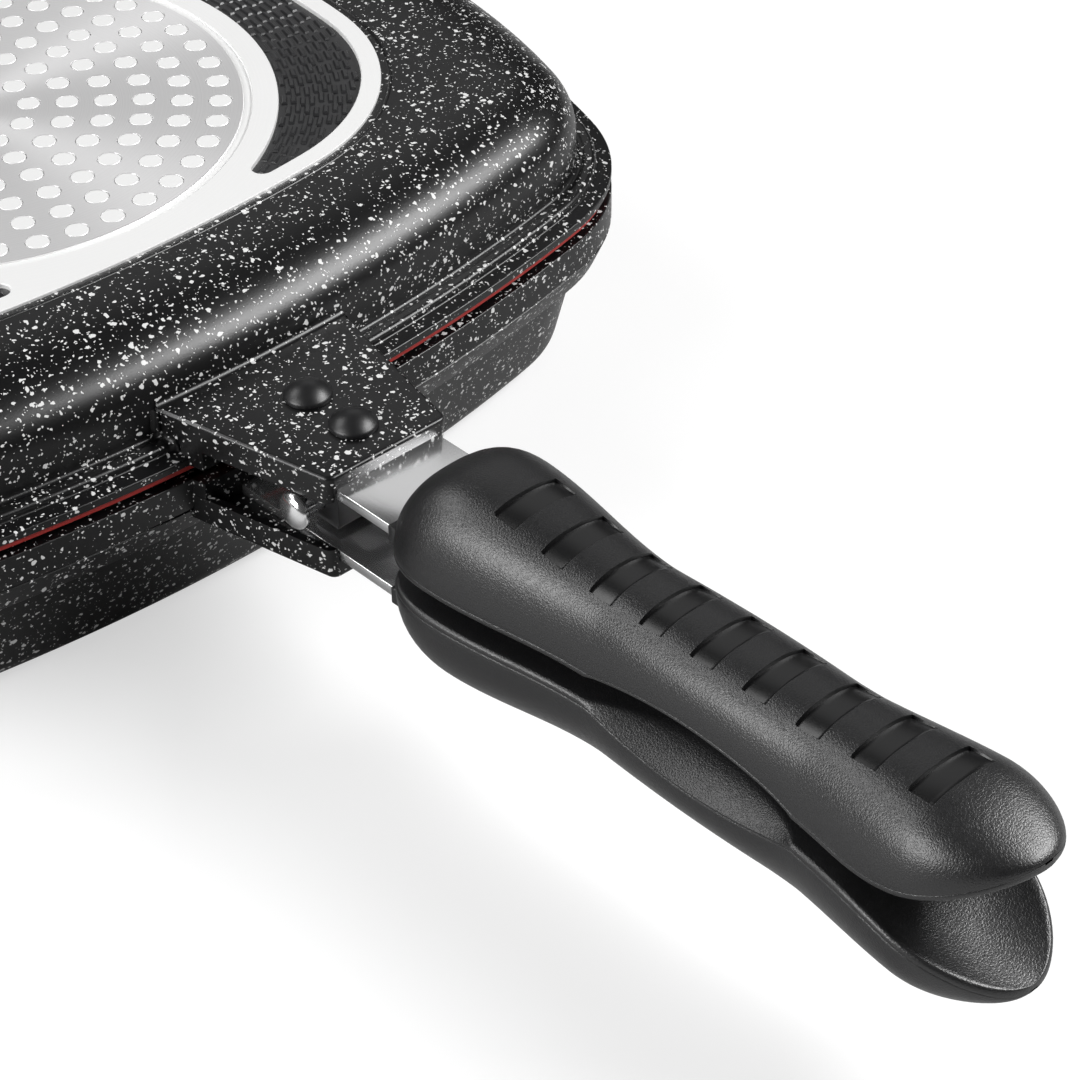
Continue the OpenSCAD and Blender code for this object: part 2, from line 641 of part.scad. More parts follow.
// A solid through sections along -Y, closed at both ends by a fan of triangles
module loft(rings) {
    n = len(rings[0]);
    m = len(rings);
    ends = [for (r = [rings[0], rings[m - 1]]) (r[0] + r[floor(n / 2)]) / 2];
    polyhedron(points = concat([for (r = rings) each r], ends),
        faces = concat([for (i = [0 : n - 1]) [i, (i + 1) % n, m * n]],
            [for (j = [0 : m - 2]) for (i = [0 : n - 1]) let (k = (i + 1) % n)
                each [[j * n + i, (j + 1) * n + i, (j + 1) * n + k], [j * n + i, (j + 1) * n + k, j * n + k]]],
            [for (i = [0 : n - 1]) [(m - 1) * n + (i + 1) % n, (m - 1) * n + i, m * n + 1]]));
}

module grip() {
    head_z = grip_gap + screw_sink;
    difference() {
        loft([for (s = stations) [for (p = section(s)) [p[0], -grip_y - s, p[1]]]]);
        translate([0, 0, strap_under - slot_gap]) linear_extrude(strap_t + 2 * slot_gap)
            strap_shape(slot_gap);
        translate([0, -grip_y - screw_s, 0]) {
            cylinder(h = head_z, d = screw_head_d + 0.4);
            cylinder(h = head_z + screw_len + 0.3, d = screw_d + 2 * fit_gap);
        }
    }
}
module lower_grip() { color("#2c2c2d") below() grip(); }
module upper_grip() { color("#2c2c2d") above() grip(); }

module grip_screw() {
    head_z = grip_gap + screw_sink;
    translate([0, -grip_y - screw_s, 0]) difference() {
        union() {
            translate([0, 0, head_z]) rotate([180, 0, 0]) dome(screw_head_d, 2.2);
            translate([0, 0, head_z - tiny]) cylinder(h = screw_len, d = screw_d);
        }
        for (a = [0, 90]) rotate(a) translate([-2.4, -0.5, head_z - 3]) cube([4.8, 1, 2]);
    }
}
module lower_grip_screw() { color("#8d8f92") below() grip_screw(); }
module upper_grip_screw() { color("#8d8f92") above() grip_screw(); }

// ---- catch under the upper strap ----

module catch_bracket() {
    cheek_low = catch_pin_z - catch_pin_d / 2 - 1.6;
    color("#b9babc") above() difference() {
        translate([-bracket_w / 2, -catch_y - bracket_len / 2, cheek_low])
            cube([bracket_w, bracket_len, strap_under - cheek_low]);
        translate([-bracket_w / 2 + bracket_t, -catch_y - bracket_len / 2 - 1, cheek_low - 1])
            cube([bracket_w - 2 * bracket_t, bracket_len + 2, strap_under - bracket_t - cheek_low + 1]);
        translate([0, -rivet_y[0], 0]) cylinder(h = strap_under + 1, d = rivet_tail_d + 0.6);
        translate([-bracket_w / 2 - 1, -catch_y, catch_pin_z]) rotate([0, 90, 0])
            cylinder(h = bracket_w + 2, d = catch_pin_d + 2 * fit_gap);
    }
}

module catch_magnet() {
    half_w = bracket_w / 2 - bracket_t - 0.1;
    top = strap_under - bracket_t - 0.2;
    low = catch_pin_z - magnet_drop;
    color("#3a3a3c") above() difference() {
        translate([-half_w, -catch_y - magnet_len / 2, low]) cube([2 * half_w, magnet_len, top - low]);
        translate([-half_w - 1, -catch_y, catch_pin_z]) rotate([0, 90, 0])
            cylinder(h = 2 * half_w + 2, d = catch_pin_d + 2 * fit_gap);
    }
}

module catch_pin() {
    reach = lug_end_w / 2 + 1.2;
    color("#dcdddf") above() translate([0, -catch_y, catch_pin_z]) {
        translate([-reach, 0, 0]) rotate([0, -90, 0]) dome(catch_head_d, 3.4);
        translate([-reach - tiny, 0, 0]) rotate([0, 90, 0])
            cylinder(h = reach + bracket_w / 2 + 1, d = catch_pin_d);
        translate([bracket_w / 2 + tiny, 0, 0]) rotate([0, 90, 0]) cylinder(h = 1.4, d = catch_pin_d + 2);
    }
}

// ---- hinge pins ----

hinge_inner = hinge_x - upper_knuckle_w / 2 - body_gap - lower_knuckle_w;
hinge_outer = hinge_x + upper_knuckle_w / 2 + body_gap + lower_knuckle_w;
clip_x = hinge_inner - 0.1 - clip_t;

module hinge_pin() {
    above() translate([0, hinge_y, 0]) rotate([0, 90, 0]) {
        translate([0, 0, hinge_outer + 0.1]) cylinder(h = hinge_head_t, d = hinge_head_d);
        difference() {
            translate([0, 0, clip_x - 1.4]) cylinder(h = hinge_outer + 0.2 - clip_x + 1.4, d = hinge_pin_d);
            translate([0, 0, clip_x]) difference() {
                cylinder(h = clip_t, d = hinge_pin_d + 2);
                translate([0, 0, -1]) cylinder(h = clip_t + 2, d = hinge_pin_d - 1.2);
            }
        }
    }
}

module hinge_clip() {
    above() translate([clip_x + tiny, hinge_y, 0]) rotate([0, 90, 0]) linear_extrude(clip_t - 2 * tiny)
        difference() {
            circle(d = clip_d);
            circle(d = hinge_pin_d - 1.2 + 2 * fit_gap);
            translate([0, -hinge_pin_d / 4]) square([clip_d, hinge_pin_d / 2]);
        }
}
module left_hinge_pin() { color("#c4c5c7") mirror([1, 0, 0]) hinge_pin(); }
module right_hinge_pin() { color("#c4c5c7") hinge_pin(); }
module left_hinge_clip() { color("#9a9b9d") mirror([1, 0, 0]) hinge_clip(); }
module right_hinge_clip() { color("#9a9b9d") hinge_clip(); }

lower_pan();
upper_pan();
rim_gasket();
lower_induction_disc();
upper_induction_disc();
lower_handle_strap();
upper_handle_strap();
lower_handle_rivets();
upper_handle_rivets();
lower_grip();
upper_grip();
lower_grip_screw();
upper_grip_screw();
catch_bracket();
catch_magnet();
catch_pin();
left_hinge_pin();
right_hinge_pin();
left_hinge_clip();
right_hinge_clip();
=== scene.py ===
import math
import bmesh
import bpy
from mathutils import Matrix, Vector


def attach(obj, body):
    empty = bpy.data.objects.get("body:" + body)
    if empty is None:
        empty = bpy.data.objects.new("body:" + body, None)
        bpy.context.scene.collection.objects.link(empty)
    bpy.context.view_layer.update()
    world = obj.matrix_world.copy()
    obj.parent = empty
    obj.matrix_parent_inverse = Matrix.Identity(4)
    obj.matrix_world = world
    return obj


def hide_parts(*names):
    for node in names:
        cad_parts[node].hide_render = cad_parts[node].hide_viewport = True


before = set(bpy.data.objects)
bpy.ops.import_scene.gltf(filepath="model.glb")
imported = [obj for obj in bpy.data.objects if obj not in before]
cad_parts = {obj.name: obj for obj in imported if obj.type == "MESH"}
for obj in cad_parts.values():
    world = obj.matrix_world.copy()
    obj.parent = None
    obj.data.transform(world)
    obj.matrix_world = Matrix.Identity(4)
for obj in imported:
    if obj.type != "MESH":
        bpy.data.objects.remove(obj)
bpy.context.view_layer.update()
scene = bpy.context.scene
print("frame loaded")

# All shapes below are drawn in millimetres, with z counted outward from the seam between the rims.
mm = 0.001
seam = dict(height=50.0)
halves = {"upper": 1, "lower": -1}


# Turns every connected shape of a bmesh in metres outward, seen from the middle of the seam
def faceOut(bm):
    bmesh.ops.recalc_face_normals(bm, faces=bm.faces[:])
    middle = Vector((0, 0, seam["height"] * mm))
    left = set(bm.faces)
    while left:
        shape = [left.pop()]
        for face in shape:
            beside = {other for edge in face.edges for other in edge.link_faces} & left
            left -= beside
            shape += beside
        if sum(face.calc_area() * face.normal.dot(face.calc_center_median() - middle) for face in shape) < 0:
            bmesh.ops.reverse_faces(bm, faces=shape)


# Turns a bmesh in metres into a named piece on a body
def finishPiece(name, bm, materials, body, replaced=(), sharp=32):
    bmesh.ops.remove_doubles(bm, verts=bm.verts[:], dist=0.000002)
    faceOut(bm)
    mesh = bpy.data.meshes.new(name)
    bm.to_mesh(mesh)
    bm.free()
    for material in materials:
        mesh.materials.append(material)
    mesh.polygons.foreach_set("use_smooth", [True] * len(mesh.polygons))
    mesh.set_sharp_from_angle(angle=math.radians(sharp))
    piece = bpy.data.objects.new(name, mesh)
    scene.collection.objects.link(piece)
    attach(piece, body)
    if replaced:
        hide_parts(*replaced)
    return piece


# Moves a shape from seam millimetres into the model frame, turned over for the lower half
def toHalf(bm, half):
    turn = halves[half]
    place = Matrix.Translation((0, 0, seam["height"] * mm)) @ Matrix.Diagonal((mm, mm, mm * turn, 1))
    bmesh.ops.transform(bm, matrix=place, verts=bm.verts[:])
    if turn < 0:
        bmesh.ops.reverse_faces(bm, faces=bm.faces[:])


# Extrudes a ring of points through the given rings. Every ring has the same number of points
def ringStack(bm, rings, capStart=False, capEnd=False, materialAt=None):
    order = bm.verts.layers.int.get("order") or bm.verts.layers.int.new("order")
    made = bmesh.ops.create_circle(bm, segments=len(rings[0]), radius=1)["verts"]
    for index, vert in enumerate(made):
        vert[order] = index
        vert.co = rings[0][index]
    first = list({edge for vert in made for edge in vert.link_edges})
    edges = first
    for step, ring in enumerate(rings[1:]):
        grown = bmesh.ops.extrude_edge_only(bm, edges=edges)["geom"]
        verts = {item for item in grown if isinstance(item, bmesh.types.BMVert)}
        edges = [item for item in grown if isinstance(item, bmesh.types.BMEdge)
                 and item.verts[0] in verts and item.verts[1] in verts]
        for vert in verts:
            vert.co = ring[vert[order]]
        if materialAt:
            for edge in edges:
                for face in edge.link_faces:
                    low, high = sorted(v[order] for v in edge.verts)
                    face.material_index = materialAt(step, high if high - low > 1 else low)
    if capStart:
        bmesh.ops.contextual_create(bm, geom=first)
    if capEnd:
        bmesh.ops.contextual_create(bm, geom=edges)
    return first, edges


# Rounds each corner (x, z, radius) of an open path
def filleted(path, steps=4):
    points = []
    for index, (x, z, radius) in enumerate(path):
        if radius == 0:
            points.append((x, z))
            continue
        corner = Vector((x, z))
        u = (Vector(path[index - 1][:2]) - corner).normalized()
        v = (Vector(path[index + 1][:2]) - corner).normalized()
        half = math.acos(max(-1, min(1, u.dot(v)))) / 2
        middle = (u + v).normalized()
        centre = corner + middle * (radius / math.sin(half))
        side = math.copysign(1, u.x * v.y - u.y * v.x)
        for k in range(-steps, steps + 1):
            turn = side * (math.pi / 2 - half) * k / steps
            points.append((centre.x - radius * (middle.x * math.cos(turn) + middle.y * math.sin(turn)),
                           centre.y - radius * (middle.y * math.cos(turn) - middle.x * math.sin(turn))))
    return points


# A box between two corners, with its edges rounded
def boxShape(bm, low, high, bevel=0.0, segments=2):
    made = bmesh.ops.create_cube(bm, size=1)["verts"]
    size = [b - a for a, b in zip(low, high)]
    middle = [(a + b) / 2 for a, b in zip(low, high)]
    bmesh.ops.transform(bm, matrix=Matrix.Translation(middle) @ Matrix.Diagonal((*size, 1)), verts=made)
    if bevel:
        edges = list({edge for vert in made for edge in vert.link_edges})
        bmesh.ops.bevel(bm, geom=edges, offset=bevel, offset_type="OFFSET", segments=segments, profile=0.5,
                        affect="EDGES", material=-1)


# Spins a profile of (distance from the axis, place along it) round an axis through a centre
def turnedShape(bm, profile, axis, centre, steps=64, closed=False):
    axis = Vector(axis)
    across = Vector((0, 1, 0)) if abs(axis.y) < 0.5 else Vector((1, 0, 0))
    verts = [bmesh.ops.create_vert(bm, co=Vector(centre) + across * r + axis * a)["vert"][0]
             for r, a in profile]
    pairs = list(zip(verts, verts[1:])) + ([(verts[-1], verts[0])] if closed else [])
    edges = [bm.edges.new(pair) for pair in pairs]
    bmesh.ops.spin(bm, geom=verts + edges, axis=axis, cent=centre, angle=2 * math.pi, steps=steps,
                   use_merge=True, use_duplicate=False)
    bmesh.ops.remove_doubles(bm, verts=bm.verts[:], dist=0.0005)


# Adds a small shape to bm once for each place
def joinShape(bm, shape, places=(Matrix.Identity(4),)):
    mesh = bpy.data.meshes.new("stamp")
    shape.to_mesh(mesh)
    shape.free()
    for place in places:
        count = len(bm.verts)
        bm.from_mesh(mesh)
        for vert in bm.verts[count:]:
            vert.co = place @ vert.co
    bpy.data.meshes.remove(mesh)


pan = dict(length=312.0, width=249.6, corner=51.0, side=(9, 40, 41), end=(12, 35, 37))
base = dict(length=208.0, width=166.8, corner=60.0, side=(17, 144, 145), end=(15, 112, 113))
arcSteps = dict(end=24, corner=28, side=28)


# Arc centres and radii of an outline from its overall size, corner radius and arc directions
def solveOutline(form):
    side, end, r = form["side"], form["end"], form["corner"]
    a, b = form["length"] / 2 - r, form["width"] / 2 - r
    endGap, sideGap = end[2] - end[1], side[2] - side[1]
    det = side[0] * end[0] - endGap * sideGap
    k1 = (a * end[0] - b * endGap) / det
    k2 = (side[0] * b - sideGap * a) / det
    cx, cy = side[0] * k1, end[0] * k2
    endTurn, sideTurn = math.atan2(end[0], end[1]), math.atan2(side[0], side[1])
    form["arcs"] = [("end", cx - end[1] * k2, 0, end[2] * k2 + r, 0, endTurn),
                    ("corner", cx, cy, r, endTurn, math.pi / 2 - sideTurn),
                    ("side", 0, cy - side[1] * k1, side[2] * k1 + r, math.pi / 2 - sideTurn, math.pi / 2)]


# Stations right round an outline, each an arc centre, a radius, a direction and two mirror signs
def stationsOf(form):
    quarter = [(x, y, r, start + (stop - start) * k / arcSteps[key])
               for key, x, y, r, start, stop in form["arcs"] for k in range(arcSteps[key])]
    last = form["arcs"][2]
    top = (last[1], last[2], last[3], math.pi / 2)
    return ([(*q, 1, 1) for q in quarter + [top]] + [(*q, -1, 1) for q in reversed(quarter)]
            + [(*q, -1, -1) for q in quarter[1:] + [top]] + [(*q, 1, -1) for q in reversed(quarter[1:])])


def outlinePoint(station, out, z):
    x, y, r, turn, signX, signY = station
    return Vector((signX * (x + (r + out) * math.cos(turn)), signY * (y + (r + out) * math.sin(turn)), z))


for form in (pan, base):
    solveOutline(form)
    form["stations"] = stationsOf(form)


def outlineRing(form, out, z):
    return [outlinePoint(station, out, z) for station in form["stations"]]


# Distance of the pan's long side from the hinge-to-handle middle at x
def rimY(x):
    _, _, y, r, _, _ = pan["arcs"][2]
    return y + math.sqrt(r * r - x * x)


def newMaterial(name, color, roughness, metallic=0.0, **sockets):
    material = bpy.data.materials.new(name)
    material.use_nodes = True
    shader = material.node_tree.nodes["Principled BSDF"]
    shader.inputs["Base Color"].default_value = (*color, 1)
    shader.inputs["Roughness"].default_value = roughness
    shader.inputs["Metallic"].default_value = metallic
    for key, value in sockets.items():
        shader.inputs[key].default_value = value
    return material, material.node_tree, shader


def addNode(tree, kind, inputs=None, **settings):
    node = tree.nodes.new(kind)
    for key, value in settings.items():
        setattr(node, key, value)
    for key, value in (inputs or {}).items():
        if hasattr(value, "links"):
            tree.links.new(value, node.inputs[key])
        else:
            node.inputs[key].default_value = value
    return node


def objectCoords(tree):
    return addNode(tree, "ShaderNodeTexCoord").outputs["Object"]


def mathNode(tree, operation, a, b=0.0, clamp=False):
    return addNode(tree, "ShaderNodeMath", {0: a, 1: b}, operation=operation, use_clamp=clamp).outputs[0]


def mixColor(tree, factor, a, b):
    node = addNode(tree, "ShaderNodeMix", {0: factor}, data_type="RGBA")
    for socket, value in ((node.inputs[6], a), (node.inputs[7], b)):
        if hasattr(value, "links"):
            tree.links.new(value, socket)
        else:
            socket.default_value = (*value, 1)
    return node.outputs[2]


def addBump(tree, shader, height, strength, distance):
    bump = addNode(tree, "ShaderNodeBump", {"Height": height, "Strength": strength, "Distance": distance})
    tree.links.new(bump.outputs["Normal"], shader.inputs["Normal"])
    return bump


# Sets how rough a finish is between two values, after a pattern
def roughBetween(tree, shader, pattern, limits):
    rough = addNode(tree, "ShaderNodeMapRange", {"Value": pattern, "To Min": limits[0], "To Max": limits[1]})
    tree.links.new(rough.outputs[0], shader.inputs["Roughness"])


# Fine rings of a lathe round the middle of the base
def latheRings(tree, coords, scale, **detail):
    flat = addNode(tree, "ShaderNodeMapping", {"Vector": coords, "Scale": (1, 1, 0)})
    span = addNode(tree, "ShaderNodeVectorMath", {0: flat.outputs[0]}, operation="LENGTH").outputs["Value"]
    rings = addNode(tree, "ShaderNodeTexNoise", {"W": mathNode(tree, "MULTIPLY", span, scale), "Scale": 1.0,
                                                 **detail}, noise_dimensions="1D")
    return rings.outputs["Fac"]


# Pushes coordinates about by a noise, so that a pattern loses its straight lines
def bentCoords(tree, coords, noiseColor, reach, middle=0.0):
    push = addNode(tree, "ShaderNodeVectorMath", {0: noiseColor, 1: (middle, middle, middle)},
                   operation="SUBTRACT")
    push = addNode(tree, "ShaderNodeVectorMath", {0: push.outputs[0], "Scale": reach}, operation="SCALE")
    return addNode(tree, "ShaderNodeVectorMath", {0: coords, 1: push.outputs[0]}, operation="ADD").outputs[0]


# Each layer of specks has a scale, a reach, a rarity and a stretch
granite = dict(plain=(0.009, 0.009, 0.010), dark=(0.0012, 0.0012, 0.0014), light=(0.003, 0.003, 0.0033),
               speck=(0.60, 0.60, 0.595), specular=0.45, roughness=(0.27, 0.37), cloudScale=60, grainScale=2600,
               warpScale=700, warpReach=0.0016, speckEdge=34.0, speckHeight=0.6,
               speckLayers=((370, 0.29, 2.5, (1, 1, 1)), (590, 0.31, 2.0, (1, 0.55, 1)),
                            (620, 0.31, 2.0, (0.55, 1, 1)), (1100, 0.33, 1.3, (1, 1, 1))))


# Irregular specks: one in each Voronoi cell, most of them small, cut off at a random distance
def speckMask(tree, coords, scale, reach, rarity, stretch):
    stretched = addNode(tree, "ShaderNodeMapping", {"Vector": coords, "Scale": stretch,
                                                    "Location": (0.013 * scale / 100, 0.021, 0.007)})
    cells = addNode(tree, "ShaderNodeTexVoronoi", {"Vector": stretched.outputs[0], "Scale": scale},
                    voronoi_dimensions="3D", feature="F1")
    chance = addNode(tree, "ShaderNodeSeparateColor", {0: cells.outputs["Color"]}).outputs[0]
    radius = mathNode(tree, "MULTIPLY", mathNode(tree, "POWER", chance, rarity), reach)
    depth = mathNode(tree, "SUBTRACT", radius, cells.outputs["Distance"])
    return mathNode(tree, "MULTIPLY", depth, granite["speckEdge"], clamp=True)


def makeGranite():
    material, tree, shader = newMaterial("graniteCoating", granite["plain"], granite["roughness"][0])
    shader.inputs["Specular IOR Level"].default_value = granite["specular"]
    coords = objectCoords(tree)
    warp = addNode(tree, "ShaderNodeTexNoise", {"Vector": coords, "Scale": granite["warpScale"], "Detail": 2.0})
    bent = bentCoords(tree, coords, warp.outputs["Color"], granite["warpReach"], 0.5)
    mask = None
    for layer in granite["speckLayers"]:
        found = speckMask(tree, bent, *layer)
        mask = found if mask is None else mathNode(tree, "MAXIMUM", mask, found)
    cloud = addNode(tree, "ShaderNodeTexNoise",
                    {"Vector": coords, "Scale": granite["cloudScale"], "Detail": 4.0})
    ground = mixColor(tree, cloud.outputs["Fac"], granite["dark"], granite["light"])
    tree.links.new(mixColor(tree, mask, ground, granite["speck"]), shader.inputs["Base Color"])
    grain = addNode(tree, "ShaderNodeTexNoise",
                    {"Vector": coords, "Scale": granite["grainScale"], "Detail": 3.0})
    roughBetween(tree, shader, grain.outputs["Fac"], granite["roughness"])
    raised = mathNode(tree, "MULTIPLY", mask, granite["speckHeight"])
    addBump(tree, shader, mathNode(tree, "ADD", raised, grain.outputs["Fac"]), 0.35, 0.00005)
    return material


bareMetal = dict(plain=(0.95, 0.95, 0.945), dark=(0.89, 0.89, 0.885), light=(0.93, 0.93, 0.925), metallic=0.45,
                 roughness=(0.40, 0.52), ringScale=2200.0, cloudScale=35)


def makeBareAluminium():
    material, tree, shader = newMaterial("bareAluminium", bareMetal["plain"], bareMetal["roughness"][0],
                                         bareMetal["metallic"])
    coords = objectCoords(tree)
    rings = latheRings(tree, coords, bareMetal["ringScale"], Detail=3.0)
    cloud = addNode(tree, "ShaderNodeTexNoise",
                    {"Vector": coords, "Scale": bareMetal["cloudScale"], "Detail": 3.0})
    roughBetween(tree, shader, cloud.outputs["Fac"], bareMetal["roughness"])
    tree.links.new(mixColor(tree, rings, bareMetal["dark"], bareMetal["light"]), shader.inputs["Base Color"])
    addBump(tree, shader, rings, 0.12, 0.00002)
    return material


brushedMetal = dict(plain=(0.84, 0.84, 0.84), dark=(0.70, 0.695, 0.70), light=(0.90, 0.895, 0.895), metallic=0.68,
                    roughness=0.34, sweep=0.85, ringScale=3800.0)


def makeBrushedDisc():
    material, tree, shader = newMaterial("brushedDisc", brushedMetal["plain"], brushedMetal["roughness"],
                                         brushedMetal["metallic"], Anisotropic=brushedMetal["sweep"])
    tangent = addNode(tree, "ShaderNodeTangent", direction_type="RADIAL", axis="Z")
    tree.links.new(tangent.outputs[0], shader.inputs["Tangent"])
    rings = latheRings(tree, objectCoords(tree), brushedMetal["ringScale"], Detail=5.0, Roughness=0.7)
    tree.links.new(mixColor(tree, rings, brushedMetal["dark"], brushedMetal["light"]),
                   shader.inputs["Base Color"])
    addBump(tree, shader, rings, 0.10, 0.00002)
    return material


stripSteel = dict(color=(0.88, 0.88, 0.885), metallic=0.96, roughness=(0.13, 0.21), lineScale=(2400, 60, 2400))


def makePolishedSteel():
    material, tree, shader = newMaterial("polishedSteel", stripSteel["color"], stripSteel["roughness"][0],
                                         stripSteel["metallic"])
    along = addNode(tree, "ShaderNodeMapping", {"Vector": objectCoords(tree), "Scale": stripSteel["lineScale"]})
    lines = addNode(tree, "ShaderNodeTexNoise", {"Vector": along.outputs[0], "Scale": 1.0, "Detail": 4.0})
    roughBetween(tree, shader, lines.outputs["Fac"], stripSteel["roughness"])
    addBump(tree, shader, lines.outputs["Fac"], 0.05, 0.00001)
    return material


# A finish whose only pattern is a fine grain
def makeGrained(name, color, roughness, scale, strength, distance=0.00003, metallic=0.0):
    material, tree, shader = newMaterial(name, color, roughness[0], metallic)
    grain = addNode(tree, "ShaderNodeTexNoise", {"Vector": objectCoords(tree), "Scale": scale, "Detail": 3.0})
    roughBetween(tree, shader, grain.outputs["Fac"], roughness)
    addBump(tree, shader, grain.outputs["Fac"], strength, distance)
    return material


leather = dict(color=(0.008, 0.008, 0.0085), specular=0.7, roughness=(0.31, 0.43), pebbleScale=1450,
               pebbleEdge=0.28, warpScale=800, warpReach=0.0008, fineScale=3500, fineHeight=0.35)


def makeGripPlastic():
    material, tree, shader = newMaterial("gripPlastic", leather["color"], leather["roughness"][0])
    shader.inputs["Specular IOR Level"].default_value = leather["specular"]
    coords = objectCoords(tree)
    warp = addNode(tree, "ShaderNodeTexNoise", {"Vector": coords, "Scale": leather["warpScale"], "Detail": 2.0})
    bent = bentCoords(tree, coords, warp.outputs["Color"], leather["warpReach"])
    pebbles = addNode(tree, "ShaderNodeTexVoronoi", {"Vector": bent, "Scale": leather["pebbleScale"]},
                      feature="DISTANCE_TO_EDGE").outputs["Distance"]
    rise = addNode(tree, "ShaderNodeMapRange", {"Value": pebbles, "From Max": leather["pebbleEdge"]},
                   interpolation_type="SMOOTHSTEP")
    fine = addNode(tree, "ShaderNodeTexNoise", {"Vector": coords, "Scale": leather["fineScale"], "Detail": 2.0})
    low = mathNode(tree, "MULTIPLY", fine.outputs["Fac"], leather["fineHeight"])
    roughBetween(tree, shader, warp.outputs["Fac"], leather["roughness"])
    addBump(tree, shader, mathNode(tree, "ADD", rise.outputs[0], low), 0.42, 0.00006)
    return material


rubber = dict(plain=(0.33, 0.015, 0.011), dark=(0.29, 0.012, 0.009), light=(0.38, 0.018, 0.013), roughness=0.55,
              cloudScale=220)


def makeSilicone():
    material, tree, shader = newMaterial("redSilicone", rubber["plain"], rubber["roughness"])
    cloud = addNode(tree, "ShaderNodeTexNoise", {"Vector": objectCoords(tree), "Scale": rubber["cloudScale"],
                                                 "Detail": 3.0})
    tree.links.new(mixColor(tree, cloud.outputs["Fac"], rubber["dark"], rubber["light"]),
                   shader.inputs["Base Color"])
    addBump(tree, shader, cloud.outputs["Fac"], 0.10, 0.00003)
    return material


coating = makeGranite()
bareAluminium = makeBareAluminium()
brushedDisc = makeBrushedDisc()
polishedSteel = makePolishedSteel()
turnedSteel = makeGrained("turnedSteel", (0.56, 0.56, 0.57), (0.20, 0.36), 1800, 0.08, 0.00002, 1.0)
rivetBlack = makeGrained("rivetBlack", (0.007, 0.007, 0.0075), (0.34, 0.42), 1500, 0.10)
pocketBlack = makeGrained("pocketBlack", (0.016, 0.016, 0.017), (0.26, 0.40), 900, 0.30)
# Black of the magnet, also given to the steel catch bracket as painted shade for the dark gap between the straps
magnetBlackAndBracketShade = makeGrained("magnetBlackAndBracketShade", (0.012, 0.012, 0.013), (0.36, 0.52), 1200, 0.15)
gripPlastic = makeGripPlastic()
# Smooth floor of the grip's grooves; its colour is darker than the grip's plastic, painted shade in the grooves
shadedGrooveFloor = makeGrained("shadedGrooveFloor", (0.004, 0.004, 0.0042), (0.28, 0.33), 1500, 0.04)
redSilicone = makeSilicone()
print("materials made")


shell = dict(wallIn=9.0, innerIn=12.0, turnHeight=12.0, flatIn=41.4, flatStop=39.0, power=2.5, shoulderSteps=26,
             upperTop=30.2, upperFloor=25.7, lowerTop=49.5, lowerFloor=45.0, floorIn=46.0, capDrop=0.8)
channel = dict(ridgeOut=2.5, ridgeHeight=0.24, wide=1.7, deep=0.3)
# Corners of the two rims' sections: distance out from the rim line, height over the seam, rounding
rimCorners = dict(
    upper=((-12, 12, 0), (-12, 1.5, 0.3), (0, 1.5, 0.25), (0, 3.5, 0.45), (-4, 4.3, 0.6), (-4.1, 6.3, 1.3),
           (-6.8, 6.3, 1.3), (-9, 5.5, 1.2), (-9, 12, 0)),
    lower=((-8.7, 2.2, 0.5), (-6, 2.2, 0), (-6, 0.8, 0.4), (-3, 0.8, 0.4), (-3, 2.2, 0), (0, 2.2, 0.35),
           (0, 10.3, 0.12), (-0.5, 10.6, 0.1), (0, 10.9, 0.12), (-3, 17.7, 0.5), (-8, 18.3, 0.9),
           (-15.8, 48.7, 8), (-39, 49.45, 0)))


# Superellipse shoulder from the wall, at z0, to the flat, at z1
def shoulder(wallIn, z0, z1):
    points = []
    for k in range(shell["shoulderSteps"] + 1):
        t = math.pi / 2 * k / shell["shoulderSteps"]
        reach = (shell["flatIn"] - wallIn) * max(0, math.cos(t)) ** (2 / shell["power"])
        points.append((-shell["flatIn"] + reach, z0 + (z1 - z0) * math.sin(t) ** (2 / shell["power"])))
    return points


# From the coated bottom over a fine ridge into the channel round the bare base
def basePath(top):
    out, high = channel["ridgeOut"], channel["ridgeHeight"]
    return [(base, out + 0.25, top), (base, out + 0.08, top + high * 0.8), (base, out - 0.05, top + high),
            (base, out - 0.25, top + high), (base, out - 0.4, top + high * 0.7),
            (base, channel["wide"], top - channel["deep"]), (base, -0.4, top - channel["deep"]),
            (base, -0.6, top - shell["capDrop"])]


def upperPath():
    inside = [(-shell["floorIn"], shell["upperFloor"])]
    inside += list(reversed(shoulder(shell["innerIn"], shell["turnHeight"], shell["upperFloor"])))[:-1]
    outside = shoulder(shell["wallIn"], shell["turnHeight"], shell["upperTop"])[1:]
    outside = [point for point in outside if point[0] > -shell["flatStop"]]
    path = inside + filleted(rimCorners["upper"]) + outside
    return [(pan, x, z) for x, z in path] + basePath(shell["upperTop"])


def lowerPath():
    floor = ((-shell["floorIn"], shell["lowerFloor"], 0), (-17.1, shell["lowerFloor"], 7))
    path = filleted(floor + rimCorners["lower"])
    return [(pan, x, z) for x, z in path] + basePath(shell["lowerTop"])


def makeShell(path):
    bm = bmesh.new()
    ringStack(bm, [outlineRing(*row) for row in path], capStart=True, capEnd=True)
    return bm


lug = dict(endY=163.4, endHalf=17.3, slope=0.2176, top=13.9, plate=9.8, skirt=6.5, wall=2.0, corner=1.8,
           cornerTurns=(22.5, 45, 67.5, 90), round=1.0, roundSteps=4, draft=0.14, straight=28.0, rootZ=25.7)
web = dict(endY=127.9, rimY=124.1, inset=0.04, topInset=0.5, topRound=0.6, drop=0.06, upperLow=3.0, upperStep=1.5,
           lowerLow=2.2)


def lugHalf(y, trim=0.0):
    return lug["endHalf"] + lug["slope"] * (lug["endY"] - y) - trim


